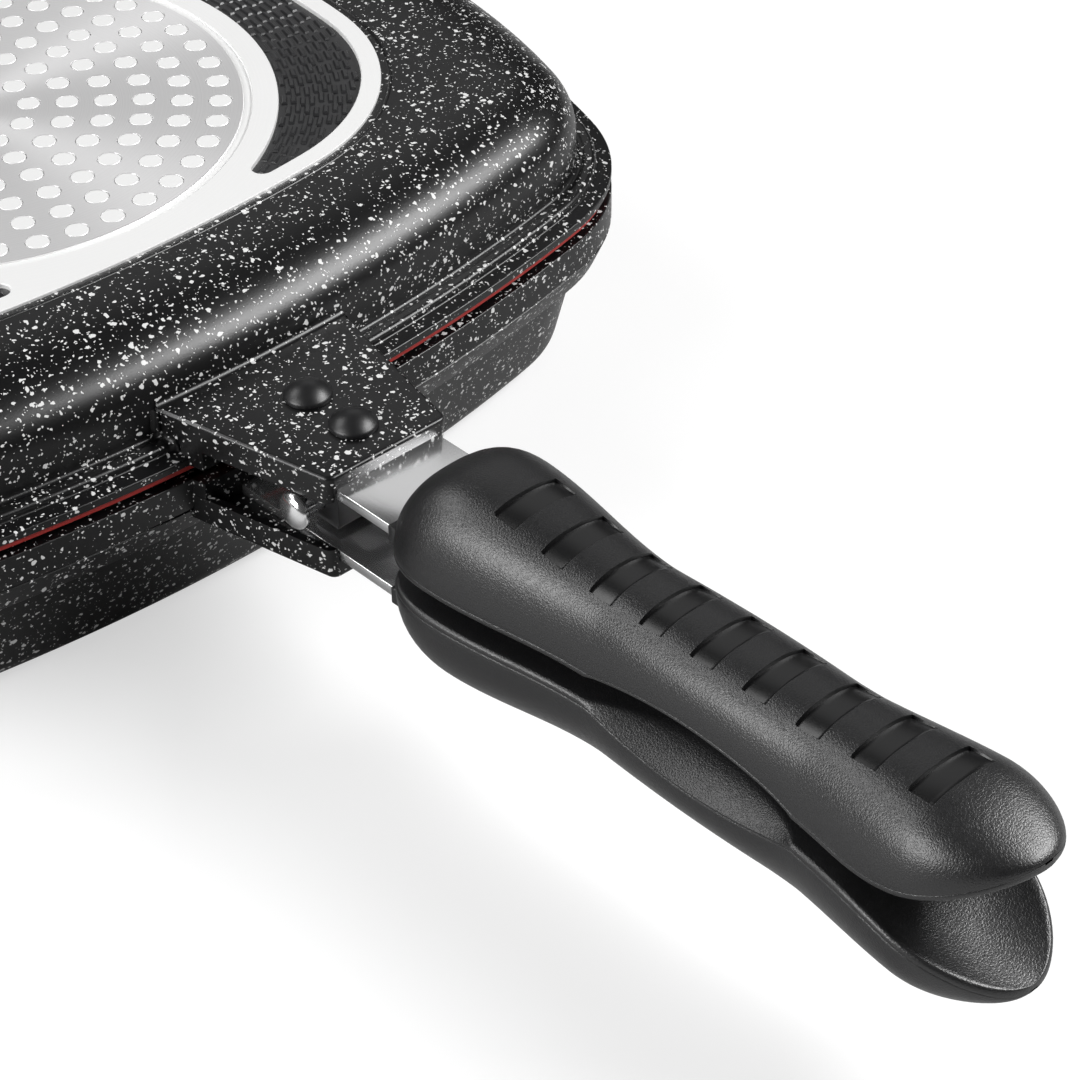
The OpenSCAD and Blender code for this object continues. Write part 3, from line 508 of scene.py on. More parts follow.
# A tapered plate with two skirts on a web, each pulled along the handle as one section
def addLug(bm, rootY, webRows):
    r = lug["corner"]
    stops = [(rootY, 0.0), (lug["endY"] - lug["straight"], 0.0), (lug["endY"] - r, 0.0)]
    stops += [(lug["endY"] - r + r * math.sin(turn), r * (1 - math.cos(turn)))
              for turn in map(math.radians, lug["cornerTurns"])]
    rings = []
    for y, trim in stops:
        w = lugHalf(y, trim)
        inner = min(lugHalf(y) - lug["wall"] * 1.02, w - 0.15)
        lean = lug["draft"] if y > lug["endY"] - r - 0.01 else 0.0
        rings.append([Vector((x, -y + lean * (lug["top"] - z), z)) for x, z in (
            (-w, lug["skirt"]), (-w, lug["top"]), (w, lug["top"]), (w, lug["skirt"]),
            (inner, lug["skirt"]), (inner, lug["plate"]), (-inner, lug["plate"]), (-inner, lug["skirt"]))])
    part = bmesh.new()
    ringStack(part, rings, capStart=True, capEnd=True)
    bmesh.ops.recalc_face_normals(part, faces=part.faces[:])
    onTop = [edge for edge in part.edges if all(abs(v.co.z - lug["top"]) < 0.01 for v in edge.verts)]
    sides = [edge for edge in onTop if edge.verts[0].co.x * edge.verts[1].co.x > 0
             and abs(edge.verts[0].co.x) - lugHalf(-edge.verts[0].co.y) > -0.01 - r]
    front = [edge for edge in onTop if all(abs(v.co.y + lug["endY"]) < 0.01 for v in edge.verts)]
    bmesh.ops.bevel(part, geom=list(set(sides + front)), offset=lug["round"], offset_type="OFFSET",
                    segments=lug["roundSteps"], profile=0.5, affect="EDGES", material=-1)
    root = bmesh.new()
    top = lug["top"] - web["drop"]
    rings = []
    for y, low in webRows:
        w, topW = lugHalf(y, web["inset"]), lugHalf(y, web["topInset"])
        side = top - web["topRound"]
        rings.append([Vector((x, -y, z)) for x, z in (
            (-w, low), (-w, side), (-topW, top), (topW, top), (w, side), (w, low))])
    ringStack(root, rings, capStart=True, capEnd=True)
    bmesh.ops.recalc_face_normals(root, faces=root.faces[:])
    joinShape(bm, part)
    joinShape(bm, root)


lugFillet = dict(r=1.5, wallIn=9.05, alongSteps=24, endGap=0.4, beadCorners=(
    (-4, 4.3, 0), (-4.1, 6.3, 0.95), (-6.8, 6.3, 0.95), (-9, 5.5, 1.2), (-9, 13.4, 0)), beadY=26.5)


# A concave fillet along a line of corners, each with its point and the two directions of its faces
def addFillet(bm, corners, r, steps=5):
    rings = []
    for point, a, b in corners:
        centre = point + (a + b) * r
        arc = [centre - (a * math.cos(t) + b * math.sin(t)) * r for t in
               (math.pi / 2 * k / steps for k in range(steps + 1))]
        back = point - (a + b) * 0.3
        rings.append([back] + arc)
    ringStack(bm, rings, capStart=True, capEnd=True)


# Fillets where the upper lug meets the wall and, on both sides, the rim and its bead
def addUpperFillets(bm):
    _, _, y, radius, _, _ = pan["arcs"][2]
    wallR = radius - lugFillet["wallIn"]
    reach = lugHalf(rimY(lug["rootZ"]) - lugFillet["wallIn"]) - lugFillet["endGap"]
    corners = []
    for k in range(lugFillet["alongSteps"] + 1):
        turn = math.asin((-reach + 2 * reach * k / lugFillet["alongSteps"]) / wallR)
        out = Vector((math.sin(turn), -math.cos(turn), 0))
        corners.append((Vector((0, -y, lug["top"])) + out * wallR, out, Vector((0, 0, 1))))
    addFillet(bm, corners, lugFillet["r"])
    profile = filleted(lugFillet["beadCorners"], 3)
    for sign in (-1, 1):
        corners = []
        for k, (off, z) in enumerate(profile):
            before, after = profile[max(0, k - 1)], profile[min(len(profile) - 1, k + 1)]
            along = Vector((after[0] - before[0], after[1] - before[1])).normalized()
            beadY = rimY(lugFillet["beadY"]) + off
            corners.append((Vector((sign * lugHalf(beadY), -beadY, z)), Vector((0, -along.y, -along.x)),
                            Vector((sign, 0, 0))))
        addFillet(bm, corners, lugFillet["r"])


hinge = dict(y=134.8, radius=6.5, bore=2.55, x=57.0, upperWidth=14.0, lowerWidth=9.0, gap=0.3, round=0.5,
             steps=56, footY=2.2, neckY=2.9, neckZ=5.9, footInset=0.05, upperFoot=(3.0, 9.0),
             lowerFoot=(0.8, 10.3), upperReach=10, lowerReach=2)


# A rolled eye on a foot that runs back to the rim
def addKnuckle(bm, x0, width, foot, wallY):
    r, e, bore = hinge["radius"], hinge["round"], hinge["bore"]
    end = x0 + width
    turnedShape(bm, [(bore, x0), (r - e, x0), (r, x0 + e), (r, end - e), (r - e, end), (bore, end)],
                (1, 0, 0), (0, hinge["y"], 0), steps=hinge["steps"], closed=True)
    ringStack(bm, [[Vector((x, y, z)) for y, z in (
        (wallY, foot[0]), (hinge["y"] - hinge["footY"], foot[0]),
        (hinge["y"] - hinge["neckY"], hinge["neckZ"]), (wallY, foot[1]))]
        for x in (x0 + hinge["footInset"], x0 + width - hinge["footInset"])], capStart=True, capEnd=True)


def addUpperKnuckles(bm):
    wallY = rimY(hinge["x"] + hinge["upperWidth"]) - hinge["upperReach"]
    for sign in (-1, 1):
        addKnuckle(bm, sign * hinge["x"] - hinge["upperWidth"] / 2, hinge["upperWidth"], hinge["upperFoot"],
                   wallY)


def addLowerKnuckles(bm):
    width = hinge["lowerWidth"]
    inner = hinge["x"] - hinge["upperWidth"] / 2 - hinge["gap"] - width
    outer = hinge["x"] + hinge["upperWidth"] / 2 + hinge["gap"]
    for start in (inner, outer, -inner - width, -outer - width):
        addKnuckle(bm, start, width, hinge["lowerFoot"], rimY(abs(start) + width) - hinge["lowerReach"])


upperShell = makeShell(upperPath())
upperRoot = rimY(lug["rootZ"]) - 10.5
addLug(upperShell, upperRoot, ((upperRoot, web["upperLow"]), (web["rimY"] - 0.3, web["upperLow"]),
                               (web["rimY"] - 0.25, web["upperStep"]), (web["endY"], web["upperStep"])))
addUpperFillets(upperShell)
addUpperKnuckles(upperShell)
toHalf(upperShell, "upper")
finishPiece("upperPanShell", upperShell, [coating], "upper_half", ["upper_pan"])

lowerShell = makeShell(lowerPath())
addLug(lowerShell, rimY(lug["rootZ"]) - 4, ((web["rimY"] - 2, web["lowerLow"]), (web["endY"], web["lowerLow"])))
addLowerKnuckles(lowerShell)
toHalf(lowerShell, "lower")
finishPiece("lowerPanShell", lowerShell, [coating], "lower_half", ["lower_pan"])
print("pan shells made")


plate = dict(chamfer=0.22, seatR=74.0, seatSteps=180, seatDepth=0.55, border=5.0, pocketR=80.5, pocketSteps=60,
             tipR=2.8, tipSteps=9, tipGap=0.004, pocketDepth=1.2)
disc = dict(radius=71.8, thick=0.5, rings=7, pitch=9.45, holeR=3.0, holeSteps=28, studR=2.84, studSteps=24,
            studRound=0.08, proud=0.02, phases=(0.0, 0.0, 7.0, -4.8, 0.0, 2.0, 3.9), centreR=1.6, edge=0.12)
bumps = dict(across=2.3, along=5.2, wide=1.5, long=4.3, high=0.55, columns=16, inset=1.4, margin=0.9, meanR=92,
             halfSweep=64, sway=0.010, tilt=0.05, taper=((0.5, 0.5, 0), (0.36, 0.44, 0.7), (0.24, 0.38, 1)))


# Centre of a pocket's rounded tip, and the reach of its centre from the side arc's centre
def pocketTip():
    sideY, sideR = base["arcs"][2][2], base["arcs"][2][3]
    reach = sideR - plate["border"] - plate["tipR"]
    near = plate["pocketR"] + plate["tipR"]
    y = (reach ** 2 - near ** 2 - sideY ** 2) / (-2 * sideY)
    return Vector((math.sqrt(near ** 2 - y ** 2), y)), sideY


# Points round the right pocket, counter-clockwise, moved outward by a distance
def pocketOutline(grow):
    tip, sideY = pocketTip()
    outTurn = math.atan2(tip.y - sideY, tip.x)
    inTurn = math.atan2(tip.y, tip.x)
    tipR, steps, sweep = plate["tipR"] + grow, plate["tipSteps"], inTurn + math.pi - outTurn
    quarter = [outlinePoint(station, grow - plate["border"], 0)
               for station in base["stations"][:sum(arcSteps.values()) + 1]
               if station[1] != sideY or station[3] <= outTurn - plate["tipGap"]]

    def aroundTip(start, side):
        return [Vector((tip.x + tipR * math.cos(start + sweep * k / steps),
                        side * tip.y + tipR * math.sin(start + sweep * k / steps), 0)) for k in range(steps + 1)]

    inner = [inTurn - 2 * inTurn * k / plate["pocketSteps"] for k in range(1, plate["pocketSteps"])]
    innerR = plate["pocketR"] - grow
    return ([Vector((p.x, -p.y, 0)) for p in reversed(quarter[1:])] + quarter + aroundTip(outTurn, 1)
            + [Vector((innerR * math.cos(turn), innerR * math.sin(turn), 0)) for turn in inner]
            + aroundTip(-(inTurn + math.pi), -1))


def circlePoints(r, count):
    return [Vector((r * math.cos(2 * math.pi * k / count), r * math.sin(2 * math.pi * k / count), 0))
            for k in range(count)]


def atHeight(points, z):
    return [Vector((p.x, p.y, z)) for p in points]


# A chamfered edge and the wall under it, as distance out from the wall and height
def edgeRows(edge, top, low):
    return [(edge, top), (edge * 0.3, top - abs(edge) * 0.3), (0, top - abs(edge)), (0, low)]


# The bare aluminium base: outer wall, two pockets, the disc's seat and a chamfer on every edge
def makeBasePlate(half, h):
    bm = bmesh.new()
    c, low, seatZ = plate["chamfer"], h - plate["pocketDepth"] - 0.06, h - plate["seatDepth"]
    rims = []
    first, _ = ringStack(bm, [outlineRing(base, out, z) for out, z in edgeRows(-c, h, low)])
    rims += first
    for sign in (1, -1):
        first, _ = ringStack(bm, [[Vector((sign * p.x, p.y, z)) for p in pocketOutline(out)]
                                  for out, z in edgeRows(c, h, low)])
        rims += first
    first, _ = ringStack(bm, [atHeight(circlePoints(plate["seatR"] + out, plate["seatSteps"]), z)
                              for out, z in edgeRows(c, h, seatZ)], capEnd=True)
    rims += first
    bmesh.ops.triangle_fill(bm, use_beauty=True, edges=rims)
    toHalf(bm, half)
    return bm


def holeCentres():
    for ring in range(1, disc["rings"] + 1):
        for k in range(6 * ring):
            turn = math.radians(60 * k / ring + disc["phases"][ring - 1])
            yield Vector((ring * disc["pitch"] * math.cos(turn), ring * disc["pitch"] * math.sin(turn), 0))


def makeDisc(half, h):
    bm = bmesh.new()
    low = h - plate["seatDepth"] + 0.01
    top = low + disc["thick"]
    middle = [Vector((0, 0, 0))]
    loops = ((disc["radius"], 160, -1, middle), (disc["holeR"], disc["holeSteps"], 1, list(holeCentres())),
             (disc["centreR"], 24, 1, middle))
    for r, count, way, centres in loops:
        loop = bmesh.new()
        ringStack(loop, [atHeight(circlePoints(r + out, count), z)
                         for out, z in edgeRows(way * disc["edge"], top, low)])
        joinShape(bm, loop, [Matrix.Translation(centre) for centre in centres])
    rims = [edge for edge in bm.edges if all(abs(vert.co.z - top) < 0.001 for vert in edge.verts)]
    bmesh.ops.triangle_fill(bm, use_beauty=True, edges=rims)
    toHalf(bm, half)
    return bm


# The aluminium that fills the disc's holes, one low button in each
def makeStuds(half, h):
    bm = bmesh.new()
    low, top = h - plate["seatDepth"] - 0.05, h - plate["seatDepth"] + disc["thick"] + disc["proud"]
    r, edge = disc["studR"], disc["studRound"]
    stud = bmesh.new()
    ringStack(stud, [atHeight(circlePoints(radius, disc["studSteps"]), z) for radius, z in
                     ((r, low), (r, top - edge), (r - edge, top))], capStart=True, capEnd=True)
    joinShape(bm, stud, [Matrix.Translation(centre) for centre in holeCentres()])
    toHalf(bm, half)
    return bm


def insidePocket(point, margin):
    if point.length < plate["pocketR"] + margin:
        return False
    x, y = abs(point.x), abs(point.y)
    for _, cx, cy, radius, start, stop in base["arcs"]:
        if start - 0.001 <= math.atan2(y - cy, x - cx) <= stop + 0.001:
            return math.hypot(x - cx, y - cy) < radius - plate["border"] - margin
    return False


# Where each bar of the right pocket stands, and how it is turned
def barPlaces():
    rows = int(math.radians(bumps["halfSweep"]) * bumps["meanR"] / bumps["along"])
    for row in range(-rows, rows + 1):
        shift = 0.5 * bumps["across"] if row % 2 else 0
        for column in range(bumps["columns"]):
            r = plate["pocketR"] + bumps["inset"] + column * bumps["across"] + shift
            turn = row * bumps["along"] / bumps["meanR"] + bumps["sway"] * math.sin(column * 1.7 + row)
            centre = Vector((r * math.cos(turn), r * math.sin(turn), 0))
            reach = Vector((-math.sin(turn), math.cos(turn), 0)) * bumps["long"] / 2
            if all(insidePocket(centre + way * reach, bumps["margin"]) for way in (1, -1)):
                yield centre, turn, bumps["tilt"] * math.sin(row * 2.3 + column)


# Black pocket floors with rows of small raised bars, each row half a bar on from the last
def makePockets(half, h):
    bm = bmesh.new()
    floor = h - plate["pocketDepth"] - 0.02
    bar = bmesh.new()
    ringStack(bar, [[Vector((x * wide * bumps["wide"], y * long * bumps["long"], high * bumps["high"]))
                     for x, y in ((-1, -1), (1, -1), (1, 1), (-1, 1))] for wide, long, high in bumps["taper"]],
              capEnd=True)
    places = []
    for sign in (1, -1):
        ringStack(bm, [[Vector((sign * p.x, p.y, z)) for p in pocketOutline(0.1)] for z in (floor - 0.05, floor)],
                  capStart=True, capEnd=True)
        places += [Matrix.Translation((sign * centre.x, centre.y, floor - 0.02))
                   @ Matrix.Rotation(sign * turn, 4, "Z") @ Matrix.Rotation(tilt, 4, "X")
                   for centre, turn, tilt in barPlaces()]
    joinShape(bm, bar, places)
    toHalf(bm, half)
    return bm


for half, body, h in (("upper", "upper_half", 30.7), ("lower", "lower_half", 50.0)):
    finishPiece(half + "BasePlate", makeBasePlate(half, h), [bareAluminium], body, sharp=20)
    finishPiece(half + "InductionDisc", makeDisc(half, h), [brushedDisc], body,
                [half + "_induction_disc"], sharp=20)
    finishPiece(half + "DiscStuds", makeStuds(half, h), [bareAluminium], body, sharp=20)
    finishPiece(half + "PocketPattern", makePockets(half, h), [pocketBlack], body)
print("bases and discs made")


gasket = dict(corners=((-4, -0.5, 0), (-1, -0.5, 0.4), (-1, 1.45, 0.1), (-7, 1.45, 0.1), (-7, -0.5, 0.4),
                       (-4.01, -0.5, 0)))


def makeGasket():
    bm = bmesh.new()
    rows = [outlineRing(pan, x, z) for x, z in filleted(gasket["corners"], 3)]
    ringStack(bm, rows + [rows[0]])
    toHalf(bm, "upper")
    return bm


finishPiece("rimGasket", makeGasket(), [redSilicone], "upper_half", ["rim_gasket"])


strap = dict(startY=128.0, halfWidth=15.0, gripY=178.4, low=7.2, high=9.8, narrowFrom=3, narrowTo=12,
             tangHalf=8.0, tangEnd=288.4, edge=0.25)
rivet = dict(y=(135.5, 151.3), headR=5.65, skirt=0.9, high=3.75, domeSteps=12, edge=0.35, shankR=2.5, tailR=3.75,
             tailHigh=1.2, tailEdge=0.3)


def makeStrap(half):
    bm = bmesh.new()
    w, t, g = strap["halfWidth"], strap["tangHalf"], strap["gripY"]
    right = [(t, strap["tangEnd"]), (t, g + strap["narrowTo"]), (w, g + strap["narrowFrom"]),
             (w, strap["startY"])]
    points = [(-x, y) for x, y in reversed(right)] + right
    verts = [bmesh.ops.create_vert(bm, co=(x, -y, strap["low"]))["vert"][0] for x, y in points]
    face = bmesh.ops.contextual_create(bm, geom=verts)["faces"]
    grown = bmesh.ops.extrude_face_region(bm, geom=face)["geom"]
    bmesh.ops.translate(bm, vec=(0, 0, strap["high"] - strap["low"]),
                        verts=[v for v in grown if isinstance(v, bmesh.types.BMVert)])
    bmesh.ops.bevel(bm, geom=bm.edges[:], offset=strap["edge"], offset_type="OFFSET", segments=3, profile=0.5,
                    affect="EDGES", material=-1)
    toHalf(bm, half)
    return bm


# Domed heads on a short skirt, with the shank and the tail that is set under the strap
def makeRivets(half):
    bm = bmesh.new()
    r, high, tailR = rivet["headR"], rivet["high"], rivet["tailR"]
    dome = high - rivet["skirt"]
    ball = (r * r + dome * dome) / (2 * dome)
    limit = math.asin(min(1, (r - rivet["edge"]) / ball))
    turns = [limit * k / rivet["domeSteps"] for k in range(1, rivet["domeSteps"] + 1)]
    profile = [(0, high)] + [(ball * math.sin(t), high - ball + ball * math.cos(t)) for t in turns]
    rim, under = profile[-1][1], strap["low"] - lug["top"]
    profile += [(r - 0.08, rim - 0.28), (r, rim - 0.6), (r, 0.15), (r - 0.12, 0), (rivet["shankR"], 0),
                (rivet["shankR"], under), (tailR, under), (tailR, under - 0.9),
                (tailR - rivet["tailEdge"], under - rivet["tailHigh"]), (0, under - rivet["tailHigh"])]
    for y in rivet["y"]:
        turnedShape(bm, profile, (0, 0, 1), (0, -y, lug["top"]), steps=64)
    toHalf(bm, half)
    return bm


catch = dict(y=153.5, z=1.5, shankR=2.5, headR=4.6, headX=-18.5, headHigh=3.4, headSkirt=1.2, collarR=3.5,
             collarX=(12.9, 13.0, 14.0), endR=3.1, endX=14.4)
hingePin = dict(radius=2.5, chamfer=0.3, start=38.3, clipDeep=0.6, clipX=(39.7, 40.6), headX=73.4, headR=4.5,
                endR=4.1, endX=(75.0, 75.4))


def makeCatchPin():
    bm = bmesh.new()
    r, x0, shankR, skirt = catch["headR"], catch["headX"], catch["shankR"], catch["headSkirt"]
    profile = [(0, x0 - catch["headHigh"])]
    for k in range(1, 11):              # shallow domed face of the head
        t = math.pi / 2 * k / 10
        profile.append((r * math.sin(t), x0 - skirt - (catch["headHigh"] - skirt) * math.cos(t)))
    neck, low, high = catch["collarX"]
    profile += [(r, x0 - 0.7), (r - 0.5, x0 - 0.1), (r - skirt, x0), (shankR + 0.35, x0 + 0.15),
                (shankR, x0 + 0.6), (shankR, neck), (catch["collarR"], low), (catch["collarR"], high),
                (catch["endR"], catch["endX"]), (0, catch["endX"])]
    turnedShape(bm, profile, (1, 0, 0), (0, -catch["y"], catch["z"]), steps=64)
    toHalf(bm, "upper")
    return bm


def makeHingePin(sign):
    bm = bmesh.new()
    r, start, groove, head = hingePin["radius"], hingePin["start"], hingePin["clipX"], hingePin["headX"]
    seat = r - hingePin["clipDeep"]
    profile = [(0, start), (r - hingePin["chamfer"], start), (r, start + 0.3), (r, groove[0]), (seat, groove[0]),
               (seat, groove[1]), (r, groove[1]), (r, head), (hingePin["headR"], head),
               (hingePin["headR"], hingePin["endX"][0]), (hingePin["endR"], hingePin["endX"][1]),
               (0, hingePin["endX"][1])]
    turnedShape(bm, [(a, sign * b) for a, b in profile], (1, 0, 0), (0, hinge["y"], 0), steps=48)
    toHalf(bm, "upper")
    return bm


for half, body in (("upper", "upper_half"), ("lower", "lower_half")):
    finishPiece(half + "Strap", makeStrap(half), [polishedSteel], body,
                [half + "_handle_strap"])
    finishPiece(half + "Rivets", makeRivets(half), [rivetBlack], body, [half + "_handle_rivets"])
finishPiece("catchPin", makeCatchPin(), [polishedSteel], "upper_half", ["catch_pin"])
for sign, name in ((-1, "left"), (1, "right")):
    finishPiece(name + "HingePin", makeHingePin(sign), [turnedSteel], "lower_half",
                [name + "_hinge_pin"])
print("straps, rivets and pins made")


grip = dict(startY=178.4, length=172.0, frontHalf=19.9, waistHalf=14.8, endHalf=18.9, frontHigh=26.6,
            waistHigh=22.6, endHigh=23.8, mate=3.1, power=2.45, endLift=12.0, liftFrom=134.0, dish=4.0,
            scoopFlat=5.0, scoopHigh=4.2, lip=1.1, frontCap=22.0, tipCap=24.0, frontBulb=(16.5, 49.0),
            tipBulb=(151.0, 40.0), scoop=(92.0, 29.0), sideFrom=0.9, sideSteps=26,
            seamBand=((0.02, 0), (0, 0.35), (0.16, 0.6), (0.02, 0.85)))
grooves = dict(count=9, first=29.0, pitch=14.4, width=6.5, depth=0.85, shallow=0.22, span=9.0, step=0.22,
               wall=0.25, bedSteps=12)
collar = dict(around=0.9, start=2.5, end=5.0, edge=0.35)


def bulge(s, where):
    return math.cos(math.pi / 2 * (s - where[0]) / where[1]) ** 2 if abs(s - where[0]) < where[1] else 0.0


def capScale(u, power):
    return max(0.0, 1 - u ** power) ** (1 / power)


def endScale(s, frontPower, tipPower):
    if s < grip["frontCap"]:
        return capScale((grip["frontCap"] - s) / grip["frontCap"], frontPower)
    tipFrom = grip["length"] - grip["tipCap"]
    return capScale((s - tipFrom) / grip["tipCap"], tipPower) if s > tipFrom else 1.0


def grooveDepth(s):
    k = math.floor((s - grooves["first"]) / grooves["pitch"])
    u = s - grooves["first"] - k * grooves["pitch"]
    if k < 0 or k >= grooves["count"] or u > grooves["width"]:
        return 0.0
    if u < grooves["step"]:
        return grooves["depth"] * u / grooves["step"]
    if u > grooves["width"] - grooves["step"]:
        return grooves["shallow"] * (grooves["width"] - u) / grooves["step"]
    run = (u - grooves["step"]) / (grooves["width"] - 2 * grooves["step"])
    return grooves["depth"] + (grooves["shallow"] - grooves["depth"]) * run


# Right half of the section at s, from the middle of the mating face round to the crown
def gripSection(s):
    front, tip = bulge(s, grip["frontBulb"]), bulge(s, grip["tipBulb"])
    full = grip["waistHalf"] + (grip["frontHalf"] - grip["waistHalf"]) * front
    w = max(0.6, (full + (grip["endHalf"] - grip["waistHalf"]) * tip) * endScale(s, 3.5, 2.1))
    crown = grip["waistHigh"] + (grip["frontHigh"] - grip["waistHigh"]) * front
    crown += (grip["endHigh"] - grip["waistHigh"]) * tip
    run = max(0.0, (s - grip["liftFrom"]) / (grip["length"] - grip["liftFrom"]))
    z0 = grip["mate"] + grip["endLift"] * run ** 2
    dish = grip["dish"] * math.sin(math.pi * run) if run > 0 else 0.0
    a = max(0.0, 1 - ((s - grip["scoop"][0]) / grip["scoop"][1]) ** 2)
    lip = min(grip["lip"], w / 3)
    flat = w - lip - (w - grip["lip"] - grip["scoopFlat"]) * a
    zw = z0 + grip["lip"] + grip["scoopHigh"] * a
    top = zw + (crown - zw) * max(0.08, endScale(s, 2.4, 2.2))
    g = min(grooves["span"], w * 0.9)
    p = 2 / grip["power"]

    def turnAt(x):
        return math.acos(min(1, x / w) ** (grip["power"] / 2))

    def onBody(t, drop=0.0):
        return (w * math.cos(t) ** p, zw + (top - zw) * math.sin(t) ** p - drop)

    floor = [(flat * k / 10, z0 + dish * (1 - (k / 10) ** 2)) for k in range(1, 11)]
    if a < 0.001:                       # rounded edge between the mating face and the side
        turns = [math.pi / 2 * k / 5 for k in range(1, 5)]
        corner = [(flat + lip * math.sin(t), z0 + grip["lip"] * (1 - math.cos(t))) for t in turns]
    else:                               # scooped side: a slope from the flat up to the side wall
        corner = [(flat + (w - flat) * k / 5, z0 + (zw - z0) * (k / 5) ** 1.15) for k in range(1, 5)]
    seamBand = [(w - out, zw + up) for out, up in grip["seamBand"]]
    low = math.asin(min(1, (grip["sideFrom"] / max(1.5, top - zw)) ** (grip["power"] / 2)))
    steps = grip["sideSteps"]
    side = [onBody(low + (turnAt(g) - low) * k / steps) for k in range(steps + 1)]
    near, steps = turnAt(min(w, g - grooves["wall"])), grooves["bedSteps"]
    bed = [onBody(near + (math.pi / 2 - near) * k / steps, grooveDepth(s)) for k in range(steps + 1)]
    return floor + corner + seamBand + side + bed, z0 + dish


def gripRing(s):
    half, bottom = gripSection(s)
    y = -grip["startY"] - s
    right = [Vector((x, y, z)) for x, z in half]
    left = [Vector((-x, y, z)) for x, z in reversed(half[:-1])]
    return [Vector((0, y, bottom))] + right + left


def gripStations():
    tipFrom = grip["length"] - grip["tipCap"]
    places = [0.04] + [grip["frontCap"] * (1 - math.cos(math.pi / 2 * k / 16)) for k in range(1, 16)]
    s = grip["frontCap"]
    while s < tipFrom:
        places.append(s)
        s += 1.6
    step, width = grooves["step"], grooves["width"]
    for k in range(grooves["count"]):
        start = grooves["first"] + k * grooves["pitch"]
        places += [start + along for along in (-0.25, -0.02, 0.08, step, 1.0)]
        places += [start + width - step, start + width - 0.08, start + width + 0.02, start + width + 0.25]
    places += [tipFrom + grip["tipCap"] * math.sin(math.pi / 2 * k / 26) for k in range(1, 26)]
    places.append(grip["length"] - 0.02)
    places.sort()
    kept = [places[0]]
    for s in places[1:]:
        if s - kept[-1] > 0.04:
            kept.append(s)
    return kept


def makeGrip(half):
    bm = bmesh.new()
    places = gripStations()
    rings = [gripRing(s) for s in places]
    crown = len(rings[0]) // 2

    # Faces in a groove's bed take the second material, the smooth floor with its painted shade
    def materialAt(step, index):
        inBed = abs(index + 0.5 - crown) < grooves["bedSteps"] + 1
        return 1 if inBed and grooveDepth((places[step] + places[step + 1]) / 2) > 0 else 0

    ringStack(bm, rings, capStart=True, capEnd=True, materialAt=materialAt)
    toHalf(bm, half)
    return bm


# The moulded sleeve where the strap enters the grip
def addCollar(bm, half):
    part = bmesh.new()
    w, around = strap["halfWidth"] + collar["around"], collar["around"]
    boxShape(part, (-w, -strap["gripY"] - collar["end"], strap["low"] - around),
             (w, -strap["gripY"] - collar["start"], strap["high"] + around), collar["edge"], 2)
    toHalf(part, half)
    joinShape(bm, part)


for half, body in (("upper", "upper_half"), ("lower", "lower_half")):
    gripShape = makeGrip(half)
    addCollar(gripShape, half)
    finishPiece(half + "Grip", gripShape, [gripPlastic, shadedGrooveFloor], body, [half + "_grip"],
                sharp=40)
print("grips made")


# Nodes that stay as they are, with their finishes; the catch bracket takes the magnet's black, painted shade for
# the dark gap between the straps
kept = {"catch_bracket": magnetBlackAndBracketShade, "catch_magnet": magnetBlackAndBracketShade, "lower_grip_screw": turnedSteel,
        "upper_grip_screw": turnedSteel, "left_hinge_clip": turnedSteel, "right_hinge_clip": turnedSteel}
for node, material in kept.items():
    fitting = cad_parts[node]
    for slot in fitting.material_slots:
        slot.material = material
    if not fitting.material_slots:
        fitting.data.materials.append(material)
print("small fittings finished")


view = dict(azimuth=-42.699, elevation=37.649, roll=-0.739, lens=107.05, place=(-0.36406, -0.60652, 0.47953))
camera = bpy.data.objects.new("camera", bpy.data.cameras.new("camera"))
camera.data.lens = view["lens"]
camera.data.sensor_width = 36
camera.location = view["place"]
camera.rotation_euler = (Matrix.Rotation(math.radians(view["azimuth"]), 3, "Z")
                         @ Matrix.Rotation(math.radians(90 - view["elevation"]), 3, "X")
                         @ Matrix.Rotation(math.radians(view["roll"]), 3, "Z")).to_euler()
scene.collection.objects.link(camera)
scene.camera = camera

studio = dict(floorColor=(0.97, 0.97, 0.97), floorMirror=(0.46, 0.46, 0.46), floorSize=9.0, floorShow=0.60,
              floorDrop=0.0002, world=0.05,
              front=dict(place=(0.95, -0.86, 1.08), size=(1.05, 0.6), power=33.0, aim=(0.0, -0.05, 0.05)),
              behind=dict(place=(-0.55, 0.85, 1.20), size=(0.8, 0.6), power=7.5, aim=(0.0, -0.15, 0.05)),
              left=dict(place=(-1.30, 0.12, 0.70), size=(0.9, 0.8), power=21.0, aim=(0.0, -0.20, 0.05)),
              right=dict(place=(1.25, 1.25, 1.45), size=(1.3, 1.1), power=2.6, aim=(0.1, 0.0, 0.05)))


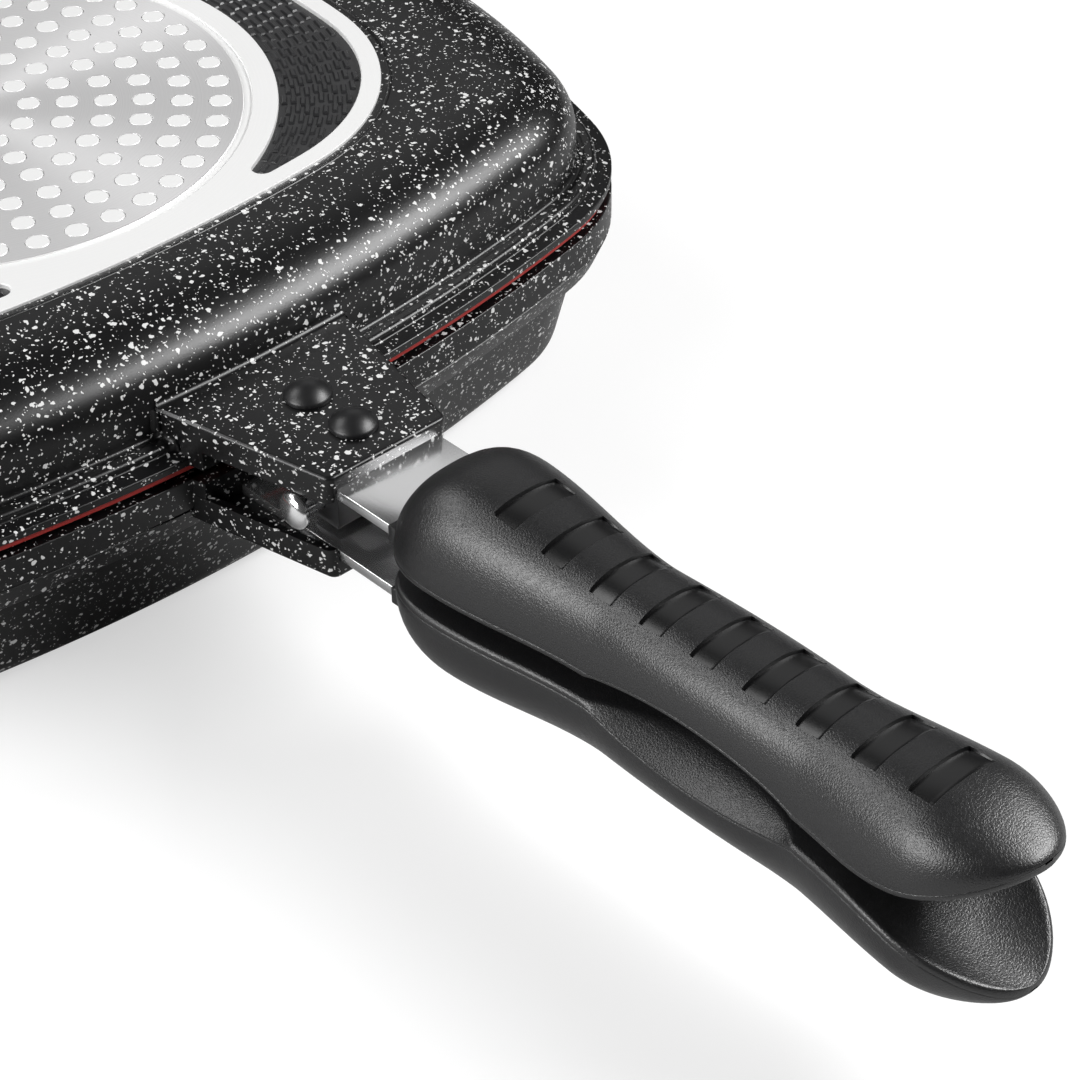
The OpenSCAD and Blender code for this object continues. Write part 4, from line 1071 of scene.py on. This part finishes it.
# Pale paper with its shadow for the camera, a dark table for everything that mirrors it
def whiteForCamera(tree, shader, lit):
    seen = addNode(tree, "ShaderNodeLightPath").outputs["Is Camera Ray"]
    tree.links.new(mixColor(tree, seen, studio["floorMirror"], studio["floorColor"]),
                   shader.inputs["Base Color"])
    white = addNode(tree, "ShaderNodeEmission", {"Color": (1, 1, 1, 1), "Strength": 1.0})
    share = mathNode(tree, "MULTIPLY", seen, studio["floorShow"])
    return addNode(tree, "ShaderNodeMixShader", {0: share, 1: lit, 2: white.outputs[0]}).outputs[0]


def makeStudio():
    bm = bmesh.new()
    bmesh.ops.create_grid(bm, x_segments=1, y_segments=1, size=studio["floorSize"] / 2)
    bmesh.ops.translate(bm, verts=bm.verts[:], vec=(0, 0, -studio["floorDrop"]))
    mesh = bpy.data.meshes.new("studioFloor")
    bm.to_mesh(mesh)
    bm.free()
    floor = bpy.data.objects.new("studioFloor", mesh)
    scene.collection.objects.link(floor)
    material, tree, shader = newMaterial("paperWhite", studio["floorColor"], 0.9)
    out = tree.nodes["Material Output"]
    tree.links.new(whiteForCamera(tree, shader, shader.outputs[0]), out.inputs["Surface"])
    mesh.materials.append(material)
    world = bpy.data.worlds.new("studioWorld")
    world.use_nodes = True
    scene.world = world
    tree = world.node_tree
    soft = tree.nodes["Background"]
    soft.inputs["Color"].default_value = (1, 1, 1, 1)
    soft.inputs["Strength"].default_value = studio["world"]
    path = addNode(tree, "ShaderNodeLightPath")
    white = addNode(tree, "ShaderNodeBackground", {"Color": (1, 1, 1, 1), "Strength": 1.0})
    blend = addNode(tree, "ShaderNodeMixShader", {0: path.outputs["Is Camera Ray"], 1: soft.outputs[0],
                                                  2: white.outputs[0]})
    tree.links.new(blend.outputs[0], tree.nodes["World Output"].inputs["Surface"])


def addSoftbox(name):
    form = studio[name]
    light = bpy.data.lights.new(name + "Softbox", "AREA")
    light.shape = "RECTANGLE"
    light.size, light.size_y = form["size"]
    light.energy = form["power"]
    lamp = bpy.data.objects.new(name + "Softbox", light)
    scene.collection.objects.link(lamp)
    lamp.location = form["place"]
    lamp.rotation_euler = (Vector(form["place"]) - Vector(form["aim"])).to_track_quat("Z", "Y").to_euler()


makeStudio()
for name in ("front", "behind", "left", "right"):
    addSoftbox(name)
scene.view_settings.view_transform = "Standard"
print("studio made")
